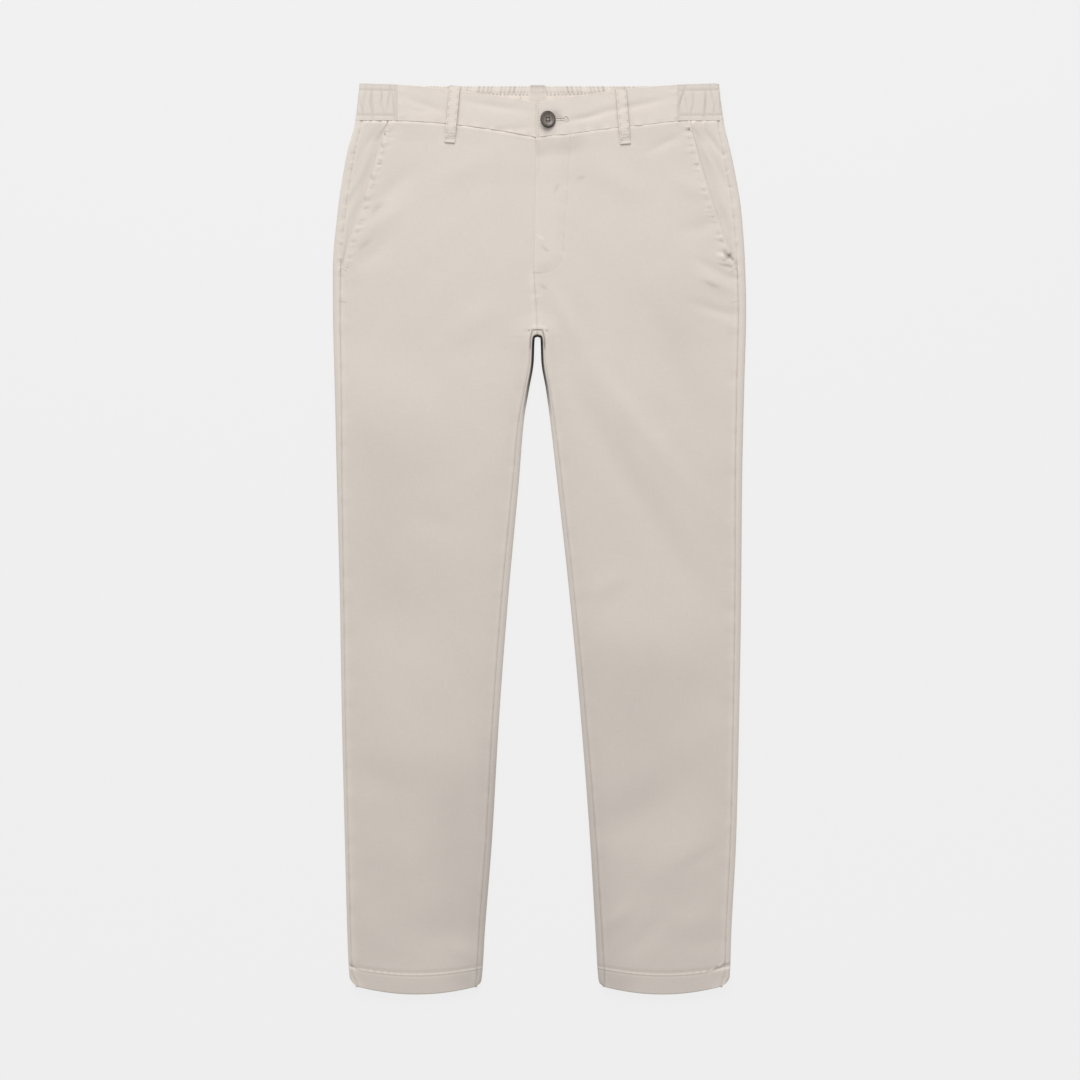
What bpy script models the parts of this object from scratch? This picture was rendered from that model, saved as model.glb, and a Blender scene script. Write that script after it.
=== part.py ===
"""Tapered chino trousers, laid flat on their back with the waist towards +Y.

Left and right are the wearer's, so the left leg is at +X. Sizes are in millimetres until a mesh is
made. The back panels lie on the ground and roll up over both edges of each leg. The front panels lie
on them, a seam's gap inside the rolled edges, and every panel is one closed wall of cloth that is
lofted through the same rows, from the waist seam down to the hem.
"""

import math
from typing import NamedTuple

import bmesh
import bpy
import numpy as np

MM = 0.001
COLLECTION = "chino_trousers"
LEFT, RIGHT = 1, -1

# Cloth
CLOTH = 1.2
HEM_CLOTH = 2.1
BAND_CLOTH = 2.2
SEAM_GAP = 0.3

# The whole garment. A drop is a distance below the waist edge, at y = TOP.
LENGTH = 1046.5
TOP = LENGTH / 2
SEAM_DROP = 43.3
CENTRE = -2.3
HEM_DROP = 1037.3
HEM_STITCH = 1013.7
HEM_BOW = LENGTH - HEM_DROP
HEM_BOW_FROM = 880.0
HEM_RISE = 1.2
HEM_STEP = 3.0
HEM_GROOVE, HEM_GROOVE_WIDTH = 0.5, 2.5
HEM_GAP = 0.9

# How the front of the waist hangs below its sides
DIP_REACH = 170.0
DIP_FADE = 140.0
SEAM_DIP, SEAM_DIP_POWER = 19.5, 1.8
EDGE_DIP, EDGE_DIP_POWER = 20.7, 1.5

# Crotch, where the back panels roll up through the fork as a small tab
FORK_DROP = 291.0
TAB_DROP = 281.8
TAB_HALF = 6.0
FORK_REACH = 5.0
FORK_ROW_DROPS = (280.0, 287.0, 294.0)

# How the cloth lies
ROLL_REACH = 3.6
BAND_ROLL_REACH = 4.5
EDGE_RISE = 2.0
EDGE_REACH = 30.0
LOOP_LIFT = 1.9
LIFT_ENDS = (75.0, 115.0)
LEAST_AIR = 0.4

# Fly
FLY_TOP_X, FLY_FOOT_X = -3.2, -6.3
FLY_FOOT_DROP = 218.0
FLY_CURVE_DROP = 187.0
FLY_WIDTH = 37.0
FLY_FLARE = 4.0
FLY_FLARE_FROM, FLY_FLARE_RUN = 110.0, 70.0
FLY_RISE, FLY_STEP = 1.7, 6.0
UNDERLAP_X = 12.0
UNDERLAP_DROP = 202.0

# Slant pockets
MOUTH_RISE = 0.7
MOUTH_REACH = 34.0
FACING_DEPTH = 1.4
FACING_UNDER = 14.0
FACING_RAMP = 12.0
MOUTH_FOOT_DROP = 209.0
MOUTH_FADE = 25.0
FACING_DROP = 216.0
FACING_SINK_FROM, FACING_SINK_RUN = 200.0, 9.0

# Waistband
BAND_TOP_DROP = 1.1
BACK_TOP_DROP = 2.9
BAND_FACE = 7.4
SIDE_FACE = 8.0
SIDE_FACE_FROM, SIDE_FACE_RUN = 120.0, 38.0
BAND_ROUNDING = 0.5
BAND_LEAST_COLUMN = 4.0
ELASTIC_END = {LEFT: 158.0, RIGHT: -162.7}
OVERLAP_RISE = 2.6
UNDERLAP_BAND_X = 24.0
UNDERLAP_INSET = 2.0
OVERLAP_FADE = (28.0, 62.0)
GATHER = 4.7
INSIDE_GATHERS = 0.65
ROLL_STEPS = 4
BAND_ROLL_STEPS = 6

# Belt loops and button
LOOP_WIDTH = 12.0
LOOP_CLOTH = 1.6
LOOP_CROWN = 0.3
LOOP_ARCH = 1.1
BACK_LOOP_LENGTH = 66.0
CENTRE_LOOP_WIDTH = 16.5
BACK_LOOP_X = 122.0
CENTRE_LOOP_INSIDE = 10.5
CENTRE_LOOP_BULGE = 2.2
LOOP_CLEARANCE = 0.6
BUTTON_DIAMETER = 20.0
BUTTON_AT = (9.9, 482.4)
BUTTON_TILT = math.radians(16)
BUTTON_HOLE = 2.0
BUTTON_HOLE_SPACING = 3.6
BUTTON_CLEARANCE = 0.55
BUTTON_SIDES, HOLE_SIDES = 28, 10


class Edges(NamedTuple):
    """x of the two legs' edges at a drop."""

    drop: float
    right: float
    left: float


OUTER_EDGES = (
    Edges(0.0, -206.5, 205.8),
    Edges(42.5, -211.2, 211.2),
    Edges(76.0, -220.2, 219.1),
    Edges(99.0, -224.8, 224.0),
    Edges(145.0, -231.7, 231.7),
    Edges(214.0, -237.5, 236.5),
    Edges(260.0, -237.4, 237.5),
    Edges(352.0, -235.2, 235.2),
    Edges(455.5, -232.9, 232.9),
    Edges(593.5, -229.4, 231.7),
    Edges(731.5, -227.1, 229.4),
    Edges(869.5, -223.7, 226.0),
    Edges(973.0, -221.0, 220.6),
    Edges(1025.8, -218.4, 218.7),
    Edges(1032.7, -214.8, 215.3),
    Edges(HEM_DROP, -209.9, 208.9),
)

INNER_EDGES = (
    Edges(FORK_DROP, -5.7, 1.2),
    Edges(318.0, -6.5, 2.0),
    Edges(352.0, -12.1, 7.5),
    Edges(386.0, -17.8, 12.1),
    Edges(455.5, -23.6, 20.1),
    Edges(593.5, -36.2, 35.1),
    Edges(731.5, -46.6, 47.7),
    Edges(869.5, -54.6, 58.1),
    Edges(973.0, -62.7, 64.2),
    Edges(1025.8, -66.1, 67.3),
    Edges(1032.7, -67.6, 68.6),
    Edges(HEM_DROP, -72.6, 73.0),
)

# How far each back panel's roll reaches over the front before its seam, at a drop.
OUTER_WRAPS = (
    Edges(0.0, 5.0, 5.0),
    Edges(110.0, 9.2, 9.6),
    Edges(260.0, 8.5, 9.0),
    Edges(600.0, 5.2, 7.0),
    Edges(LENGTH, 5.0, 6.0),
)
INNER_WRAPS = (
    Edges(FORK_DROP, 7.2, 6.2),
    Edges(600.0, 7.4, 5.4),
    Edges(LENGTH, 6.6, 8.2),
)

# The pocket mouths, from the waist seam to the foot of the opening.
POCKET_MOUTHS = (
    Edges(43.0, -173.5, 172.8),
    Edges(101.2, -192.6, 188.6),
    Edges(139.2, -204.0, 200.3),
    Edges(167.9, -214.5, 210.3),
    Edges(183.0, -219.6, 216.0),
    Edges(200.0, -224.3, 222.0),
    Edges(MOUTH_FOOT_DROP, -225.8, 224.6),
)


class Height(NamedTuple):
    """Height of the upper face over the ground, away from the edges, at a drop."""

    drop: float
    height: float


UPPER_HEIGHTS = (
    Height(0.0, 6.4),
    Height(60.0, 6.3),
    Height(115.0, 4.8),
    Height(220.0, 4.1),
    Height(310.0, 3.7),
    Height(LENGTH, 3.5),
)


class Fold(NamedTuple):
    """A soft ridge, or a trough where its height is negative, between two points."""

    x0: float
    y0: float
    x1: float
    y1: float
    width: float
    height: float


FOLDS = (
    # left leg
    Fold(40, 222, 82, 148, 13, -0.8),
    Fold(82, 152, 148, 62, 17, -0.8),
    Fold(62, 226, 118, 130, 17, 1.5),
    Fold(120, 128, 182, 60, 19, 1.2),
    Fold(96, 48, 160, -30, 24, 0.9),
    Fold(46, -98, 98, -84, 9, 1.5),
    Fold(48, -114, 104, -106, 9, -0.7),
    Fold(112, -146, 190, -126, 15, -0.8),
    Fold(110, -116, 200, -96, 14, 1.2),
    Fold(96, -318, 154, -281, 9, -0.8),
    Fold(104, -342, 162, -326, 10, 1.4),
    Fold(160, -378, 204, -360, 8, 1.3),
    Fold(150, -396, 200, -384, 8, -0.6),
    Fold(94, -454, 124, -418, 8, 1.5),
    Fold(168, -214, 208, -200, 11, 1.0),
    # right leg
    Fold(-60, 190, -112, 92, 18, 1.1),
    Fold(-190, 150, -214, 40, 16, 0.9),
    Fold(-84, 30, -150, -50, 22, 0.9),
    Fold(-118, -226, -60, -280, 10, -0.8),
    Fold(-100, -214, -52, -262, 9, 1.6),
    Fold(-196, -266, -158, -290, 12, 1.1),
    Fold(-122, -384, -76, -402, 10, 1.4),
    Fold(-128, -452, -88, -482, 8, 1.4),
    Fold(-206, -420, -184, -468, 9, 0.9),
    Fold(-196, -120, -150, -170, 16, 0.9),
    # seat and hips
    Fold(-222, 340, -168, 364, 9, 1.2),
    Fold(-205, 312, -150, 330, 11, 0.8),
    Fold(58, 430, 118, 398, 15, 0.9),
    Fold(184, 308, 226, 300, 8, 1.1),
    Fold(180, 262, 226, 250, 9, 1.1),
    Fold(-40, 260, -96, 214, 14, 0.9),
    Fold(22, 286, 66, 250, 12, 0.8),
)

BAND_CREASES = (
    Fold(-92, 501, -6, 488, 5, -0.5),
    Fold(-92, 490, -30, 482, 5, 0.5),
    Fold(-134, 512, -108, 484, 5, -0.6),
    Fold(-148, 498, -118, 476, 6, 0.5),
    Fold(46, 500, 88, 498, 4, -0.5),
    Fold(30, 488, 92, 489, 5, 0.5),
    Fold(104, 506, 146, 500, 6, 0.5),
)


class Loop(NamedTuple):
    """A front belt loop: the middle of its top and of its foot."""

    top_x: float
    top_y: float
    foot_x: float
    foot_y: float


LOOP_ROWS = (0.0, 0.03, 0.06, 0.12, 0.25, 0.4, 0.55, 0.7, 0.8, 0.9, 1.0)

FRONT_LOOPS = {
    "belt_loop_front_right": Loop(-97.0, 520.5, -103.2, 453.6),
    "belt_loop_front_left": Loop(93.2, 519.0, 98.6, 452.4),
}


class Finish(NamedTuple):
    """Colour, roughness and metallic value of a material."""

    colour: tuple
    roughness: float
    metallic: float


TWILL = Finish((0.686, 0.617, 0.552), 0.92, 0.0)
TWILL_INSIDE = Finish((0.640, 0.575, 0.515), 0.94, 0.0)
HORN = Finish((0.150, 0.126, 0.112), 0.42, 0.0)


# ---------------------------------------------------------------- reading the tables


def ease(t):
    """A soft step from 0 to 1."""
    t = np.clip(t, 0.0, 1.0)
    return t * t * (3.0 - 2.0 * t)


def through(knots, values, at):
    """A smooth curve through the points, with no overshoot between them."""
    knots, values = np.asarray(knots, float), np.asarray(values, float)
    steps = np.diff(knots)
    slopes = np.diff(values) / steps
    before, after = slopes[:-1], slopes[1:]
    agree = before * after > 0
    total = np.where(agree, before + after, 1.0)
    inner = np.where(agree, 2.0 * before * after / total, 0.0)
    tangents = np.concatenate([[slopes[0]], inner, [slopes[-1]]])
    at = np.clip(np.asarray(at, float), knots[0], knots[-1])
    i = np.clip(np.searchsorted(knots, at, side="right") - 1, 0, len(steps) - 1)
    t = (at - knots[i]) / steps[i]
    start = values[i] * (1 + 2 * t) * (1 - t) ** 2 + tangents[i] * steps[i] * t * (1 - t) ** 2
    end = values[i + 1] * t * t * (3 - 2 * t) + tangents[i + 1] * steps[i] * t * t * (t - 1)
    return start + end


def edge(table, side, drop):
    """One side's column of a table of edges, at a drop."""
    values = [row.left if side == LEFT else row.right for row in table]
    return through([row.drop for row in table], values, drop)


def upper_height(drop):
    return through([row.drop for row in UPPER_HEIGHTS], [row.height for row in UPPER_HEIGHTS], drop)


# ---------------------------------------------------------------- how the cloth lies


def underside(drop):
    """Height of the lowest face: on the ground, but lifted by the belt loops at the waist."""
    start, end = LIFT_ENDS
    return LOOP_LIFT * (1.0 - ease((drop - start) / (end - start)))


def wall(drop):
    """Thickness of a leg panel, which doubles in the turned hem."""
    return CLOTH + (HEM_CLOTH - CLOTH) * ease((drop - HEM_STITCH + 2.0) / 4.0)


def waist_dip(x, depth, power):
    """How far the front of the waist hangs below its sides."""
    return depth * np.clip(1.0 - np.abs(x - CENTRE) / DIP_REACH, 0.0, 1.0) ** power


def seam_dip(x):
    return waist_dip(x, SEAM_DIP, SEAM_DIP_POWER)


def edge_dip(x):
    return waist_dip(x, EDGE_DIP, EDGE_DIP_POWER)


def hem_bow(side, x, drop):
    """How far a row near the hem bows down between the two edges of its leg."""
    outer, inner = edge(OUTER_EDGES, side, drop), edge(INNER_EDGES, side, drop)
    u = np.clip((x - inner) / (outer - inner), 0.0, 1.0)
    fade = ease((drop - HEM_BOW_FROM) / (HEM_DROP - HEM_BOW_FROM))
    return HEM_BOW * fade * 4.0 * u * (1.0 - u)


def front_y(side, x, drop):
    """y of a point of a front row, from its drop at the row's edge."""
    dip = seam_dip(x) * (1.0 - ease((drop - SEAM_DROP) / DIP_FADE))
    return TOP - drop - dip - hem_bow(side, x, drop)


def fold_height(folds, x, y):
    """The sum of the soft ridges and troughs at a point."""
    total = np.zeros(np.broadcast(x, y).shape)
    for fold in folds:
        run, rise = fold.x1 - fold.x0, fold.y1 - fold.y0
        length = math.hypot(run, rise)
        along = ((x - fold.x0) * run + (y - fold.y0) * rise) / length**2
        bend = 0.25 * fold.width * np.sin(3.0 * along)
        across = ((y - fold.y0) * run - (x - fold.x0) * rise) / length + bend
        ends = np.sin(np.pi * np.clip((along + 0.2) / 1.4, 0.0, 1.0)) ** 1.5
        total = total + fold.height * ends * np.exp(-((across / fold.width) ** 2))
    return total


def edge_height(side, x, drop):
    """Rise of the cloth towards the rolled edges of the leg and the fork."""
    to_outer = np.abs(edge(OUTER_EDGES, side, drop) - x)
    to_leg = np.abs(edge(INNER_EDGES, side, drop) - x)
    aside = np.maximum(np.abs(x - CENTRE) - FORK_REACH, 0.0)
    to_fork = np.hypot(aside, np.maximum(FORK_DROP - drop, 0.0))
    to_inner = np.where(drop > FORK_DROP, to_leg, to_fork)
    return EDGE_RISE * ease(1.0 - np.minimum(to_outer, to_inner) / EDGE_REACH)


def upper_face(side, x, y, drop):
    """Height of the upper cloth's outer face, before the fly and the pockets are added."""
    past = drop - HEM_STITCH
    hem = HEM_RISE * ease(past / HEM_STEP) - HEM_GROOVE * np.exp(-((past / HEM_GROOVE_WIDTH) ** 2))
    lift = upper_height(drop) + edge_height(side, x, drop) + fold_height(FOLDS, x, y) + hem
    return np.maximum(lift, underside(drop) + 2.0 * wall(drop) + LEAST_AIR)


def fly_width(drop):
    """Width of the fly from its edge to its stitching, which flares out a little at the waist."""
    return FLY_WIDTH + FLY_FLARE * np.clip((FLY_FLARE_FROM - drop) / FLY_FLARE_RUN, 0.0, 1.0)


def fly_height(x, drop):
    """Rise of the left front over the underlap, inside the curved fly stitching."""
    below = np.maximum(drop - FLY_CURVE_DROP, 0.0) / (FLY_FOOT_DROP - FLY_CURVE_DROP)
    width = fly_width(drop)
    reach = np.hypot((x - FLY_FOOT_X) / width, below)
    return FLY_RISE * ease((1.0 - reach) * width / FLY_STEP)


def mouth_height(side, x, drop):
    """Rise of a front panel towards its pocket mouth."""
    inside = np.abs(edge(POCKET_MOUTHS, side, drop) - x)
    fade = 1.0 - ease((drop - MOUTH_FOOT_DROP) / MOUTH_FADE)
    return MOUTH_RISE * fade * ease(1.6 * (1.0 - inside / MOUTH_REACH))


def band_face(side, x, y):
    """Height of the smooth front waistband's outer face."""
    rise = (SIDE_FACE - BAND_FACE) * ease((np.abs(x) - SIDE_FACE_FROM) / SIDE_FACE_RUN)
    overlap = 0.0
    if side == LEFT:
        start, end = OVERLAP_FADE
        overlap = OVERLAP_RISE * (1.0 - ease((x - start) / (end - start)))
    fade = ease((np.abs(x - UNDERLAP_BAND_X) - 6.0) / 12.0) if side == RIGHT else 1.0
    return BAND_FACE + rise + overlap + fade * fold_height(BAND_CREASES, x, y)


# ---------------------------------------------------------------- rows of the panels


class Row(NamedTuple):
    """A row across a leg: its drop at the outer edge and its inner end, in plan.

    fold is the point where the back panel rolls up, heading is the way from there into the cloth,
    and seam is where its inner seam lies on top. Rows above the fork have none of these.
    """

    drop: float
    fold: tuple = None
    heading: tuple = None
    seam: tuple = None


HIP_DROPS = (43.45, 52, 66, 82, 100, 120, 142, 164, 183, 200, 209, 216, 223, 240, 262)
LEG_DROPS = (303, 318, 335, 352, 380, 412, 446, 482, 518, 554, 592, 630, 668, 706, 744, 782, 820)
SHIN_DROPS = (858, 892, 924, 952, 980, 1005, 1011.5, 1014, 1018, 1028, 1034, HEM_DROP)


def rows_of(side):
    """The rows of one leg, from the waist seam to the hem."""
    rows = [Row(drop) for drop in HIP_DROPS]
    middle = CENTRE + side * SEAM_GAP / 2
    inner = float(edge(INNER_EDGES, side, FORK_DROP))
    wrap = float(edge(INNER_WRAPS, side, FORK_DROP))
    slant = math.sqrt(0.5)
    tab_y = TOP - TAB_DROP
    fork_y = TOP - FORK_DROP
    above, beside, below = FORK_ROW_DROPS
    rows.append(Row(above, (middle, fork_y), (0.0, 1.0), (middle, tab_y)))
    corner = (CENTRE + side * TAB_HALF, tab_y)
    rows.append(Row(beside, (inner - side * 0.5, fork_y - 1.0), (side * slant, slant), corner))
    notch = (inner + side * wrap, fork_y - 2.0)
    rows.append(Row(below, (inner, fork_y - 5.0), (float(side), 0.0), notch))
    for drop in LEG_DROPS + SHIN_DROPS:
        x, y = float(edge(INNER_EDGES, side, drop)), TOP - drop
        reach = float(edge(INNER_WRAPS, side, drop))
        rows.append(Row(drop, (x, y), (float(side), 0.0), (x + side * reach, y)))
    return rows


def outer_seam(side, drop):
    """x where the outer seam lies on top, inside the rolled outer edge."""
    return edge(OUTER_EDGES, side, drop) - side * edge(OUTER_WRAPS, side, drop)


def centre_seam(drop):
    """x of the centre front seam between the fly and the fork."""
    return through([FLY_FOOT_DROP, TAB_DROP], [FLY_FOOT_X, CENTRE], drop)


def roll(fold, heading, seam, face, low, thick, reach, steps):
    """Outer and inner points from a seam on top, over a rolled edge, down to the ground."""
    fold, heading, seam = np.array(fold), np.array(heading), np.array(seam)
    centre = fold + heading * reach
    middle, half = (face(*centre) + low) / 2, (face(*centre) - low) / 2
    end = face(*seam)
    outer = [(*seam, end)]
    inner = [(*seam, end - thick)]
    for turn in np.linspace(0.0, np.pi, steps + 1):
        for points, cut in ((outer, 0.0), (inner, thick)):
            plan = centre - heading * (reach - cut) * math.sin(turn)
            points.append((*plan, middle + (half - cut) * math.cos(turn)))
    return outer, inner


# ---------------------------------------------------------------- meshes


def finish_object(name, mesh, finish):
    """Adds the mesh to the collection as an object with its own material."""
    material = bpy.data.materials.new(name)
    material.use_nodes = True
    shader = material.node_tree.nodes["Principled BSDF"]
    shader.inputs["Base Color"].default_value = (*finish.colour, 1.0)
    shader.inputs["Roughness"].default_value = finish.roughness
    shader.inputs["Metallic"].default_value = finish.metallic
    mesh.materials.append(material)
    thing = bpy.data.objects.new(name, mesh)
    bpy.data.collections[COLLECTION].objects.link(thing)
    return thing


def cloth_wall(name, outer, inner, finish):
    """A closed wall of cloth between an outer and an inner grid of points.

    A row may start later than the first column: its missing points are None, and the cells that
    would touch them are left out.
    """
    made = bmesh.new()
    corners = [
        [[None if p is None else made.verts.new([c * MM for c in p]) for p in row] for row in grid]
        for grid in (outer, inner)
    ]
    cells = set()
    for i in range(len(outer) - 1):
        for j in range(len(outer[0]) - 1):
            spots = ((i, j), (i, j + 1), (i + 1, j + 1), (i + 1, j))
            if all(outer[a][b] is not None for a, b in spots):
                cells.add((i, j))
                for grid in corners:
                    made.faces.new([grid[a][b] for a, b in spots])
    for i, j in cells:
        sides = {
            (i - 1, j): ((i, j), (i, j + 1)),
            (i + 1, j): ((i + 1, j), (i + 1, j + 1)),
            (i, j - 1): ((i, j), (i + 1, j)),
            (i, j + 1): ((i, j + 1), (i + 1, j + 1)),
        }
        for neighbour, (a, b) in sides.items():
            if neighbour not in cells:
                rim = [corners[0][a[0]][a[1]], corners[0][b[0]][b[1]]]
                rim += [corners[1][b[0]][b[1]], corners[1][a[0]][a[1]]]
                made.faces.new(rim)
    loose = [v for v in made.verts if not v.link_faces]
    bmesh.ops.delete(made, geom=loose, context="VERTS")
    bmesh.ops.recalc_face_normals(made, faces=made.faces)
    mesh = bpy.data.meshes.new(name)
    made.to_mesh(mesh)
    made.free()
    mesh.shade_smooth()
    mesh.set_sharp_from_angle(angle=math.radians(40))
    return finish_object(name, mesh, finish)


# ---------------------------------------------------------------- back panels


def back_panel(name, side):
    """A back leg: flat on the ground, rolled up at the outer edge, the inner leg and the fork."""
    outer_rows, inner_rows = [], []
    for row in rows_of(side):
        drop = row.drop
        low, thick = float(underside(drop)), float(wall(drop))

        def face(x, y):
            return float(upper_face(side, x, y, drop))

        y = TOP - drop
        out_x = float(edge(OUTER_EDGES, side, drop))
        seam = (float(outer_seam(side, drop)), y)
        far = roll((out_x, y), (-side, 0.0), seam, face, low, thick, ROLL_REACH, ROLL_STEPS)
        if row.fold is None:
            start = np.array((CENTRE + side * SEAM_GAP / 2, y))
            near = [[None] * (ROLL_STEPS + 1) + [(*start, low + cut)] for cut in (0.0, thick)]
        else:
            start = np.array(row.fold) + np.array(row.heading) * ROLL_REACH
            near = roll(row.fold, row.heading, row.seam, face, low, thick, ROLL_REACH, ROLL_STEPS)
        middle = (start + np.array((out_x - side * ROLL_REACH, y))) / 2
        for rows, close, distant, cut in zip((outer_rows, inner_rows), near, far, (0.0, thick)):
            spots = close + [(*middle, low + cut)] + distant[::-1]
            bows = [0.0 if p is None else float(hem_bow(side, p[0], drop)) for p in spots]
            rows.append([p and (p[0], p[1] - bow, p[2]) for p, bow in zip(spots, bows)])
    return cloth_wall(name, outer_rows, inner_rows, TWILL)


# ---------------------------------------------------------------- front panels

LEG_COLUMNS = (0.0, 0.05, 0.12, 0.22, 0.34, 0.46, 0.58, 0.70, 0.81, 0.90, 0.96, 1.0)


def fly_columns(inner, outer, drop):
    """Columns that follow both sides of the fly stitching."""
    stitch = FLY_FOOT_X + fly_width(drop)
    near = [(stitch - inner + step) / (outer - inner) for step in (-7.0, 0.5)]
    rest = np.linspace(near[-1], 1.0, len(LEG_COLUMNS) - 3)[1:]
    return np.array([0.0, 0.5 * near[0], *near, *rest])


def front_bounds(side, row):
    """The two ends of a front row: each is x and the drop of that end."""
    drop = row.drop
    gap = SEAM_GAP + (HEM_GAP - SEAM_GAP) * float(ease((drop - HEM_STITCH) / (HEM_DROP - HEM_STITCH)))
    if drop <= MOUTH_FOOT_DROP:
        outer = float(edge(POCKET_MOUTHS, side, drop))
    else:
        outer = float(outer_seam(side, drop)) - side * gap
    if row.seam is not None:
        inner, inner_drop = row.seam[0], TOP - row.seam[1]
        if inner_drop <= TAB_DROP:
            shift = 0.0 if abs(inner - CENTRE) < SEAM_GAP else side * SEAM_GAP
            return (inner + shift, inner_drop - SEAM_GAP), (outer, drop)
        return (inner + side * gap, inner_drop), (outer, drop)
    if side == LEFT:
        line = FLY_TOP_X + (FLY_FOOT_X - FLY_TOP_X) * drop / FLY_FOOT_DROP
        inner = (line if drop < FLY_FOOT_DROP else float(centre_seam(drop))) + SEAM_GAP / 2
    else:
        inner = UNDERLAP_X if drop < UNDERLAP_DROP else float(centre_seam(drop)) - SEAM_GAP / 2
    return (inner, drop), (outer, drop)


def front_columns(side, row):
    """x and drop of the points across a front row."""
    (inner, inner_drop), (outer, outer_drop) = front_bounds(side, row)
    spread = np.array(LEG_COLUMNS)
    if side == LEFT:
        share = 1.0 - ease((row.drop - FLY_FOOT_DROP) / 60.0)
        spread = spread + share * (fly_columns(inner, outer, row.drop) - spread)
    return inner + (outer - inner) * spread, inner_drop + (outer_drop - inner_drop) * spread


def front_panel(name, side):
    """A front leg. The left one laps over the right one at the fly."""
    outer_rows, inner_rows = [], []
    for row in rows_of(side):
        x, drop = front_columns(side, row)
        y = front_y(side, x, drop)
        z = upper_face(side, x, y, drop) + mouth_height(side, x, drop)
        if side == LEFT:
            z = z + fly_height(x, drop)
        outer_rows.append(list(zip(x, y, z)))
        inner_rows.append(list(zip(x, y, z - wall(drop))))
    return cloth_wall(name, outer_rows, inner_rows, TWILL)


def pocket_facing(name, side):
    """The piece that shows in the slant pocket, from under its mouth to the outer seam."""
    outer_rows, inner_rows = [], []
    for drop in [d for d in HIP_DROPS if d <= FACING_DROP]:
        mouth = float(edge(POCKET_MOUTHS, side, min(drop, MOUTH_FOOT_DROP)))
        seam = float(outer_seam(side, drop)) - side * SEAM_GAP
        shown = abs(seam - mouth)
        under = [mouth - side * FACING_UNDER, mouth - side * 1.0]
        x = np.array(under + [mouth + side * shown * share for share in (0.3, 0.65, 1.0)])
        y = front_y(side, x, drop)
        ramp = min(FACING_RAMP, 0.9 * shown)
        sink = ease((drop - FACING_SINK_FROM) / FACING_SINK_RUN)
        below = np.maximum(1.0 - ease(side * (x - mouth) / ramp), sink)
        z = upper_face(side, x, y, drop) - FACING_DEPTH * below
        outer_rows.append(list(zip(x, y, z)))
        inner_rows.append(list(zip(x, y, z - CLOTH)))
    return cloth_wall(name, outer_rows, inner_rows, TWILL)


# ---------------------------------------------------------------- waistband

BAND_ROWS = (0.0, 0.14, 0.5, 0.84, 1.0)


class Gather(NamedTuple):
    """A row of the elastic band: its share of the depth and the height of its gathers."""

    share: float
    height: float


GATHERS = (Gather(0.0, 0.3), Gather(0.17, 0.2), Gather(0.5, 0.6), Gather(0.8, 0.2), Gather(1.0, 0.5))


def band_y(x, share):
    """y across the front waistband, from its seam to its top edge."""
    seam = TOP - SEAM_DROP + SEAM_GAP / 2 - seam_dip(x)
    top = TOP - BAND_TOP_DROP - edge_dip(x)
    return seam + (top - seam) * share


def front_band(name, side):
    """The smooth front half of the waistband. The left one laps over the right one."""
    end = ELASTIC_END[side] - side * SEAM_GAP
    panel_x = front_columns(side, rows_of(side)[0])[0]
    x = np.array([c for c in panel_x if abs(c) < abs(end) - BAND_LEAST_COLUMN] + [end])
    if side == RIGHT:
        x = np.concatenate([[UNDERLAP_BAND_X], x])
    outer_rows, inner_rows = [], []
    for share in BAND_ROWS:
        y = band_y(x, share)
        if side == RIGHT:
            y = y + UNDERLAP_INSET * (1.0 - 2.0 * share) * ease((x - CENTRE) / 6.0)
        rounding = BAND_ROUNDING * (2.0 * abs(share - 0.5)) ** 4
        face = band_face(side, x, y)
        outer_rows.append(list(zip(x, y, face - rounding)))
        inner_rows.append(list(zip(x, y, face - BAND_CLOTH)))
    return cloth_wall(name, outer_rows, inner_rows, TWILL)


def waves(count, seed):
    """Uneven heights of gathers, up and down in turn, between -1 and 1."""
    chance = np.random.default_rng(seed)
    return (-1.0) ** np.arange(count) * chance.uniform(0.45, 1.0, count)


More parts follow.
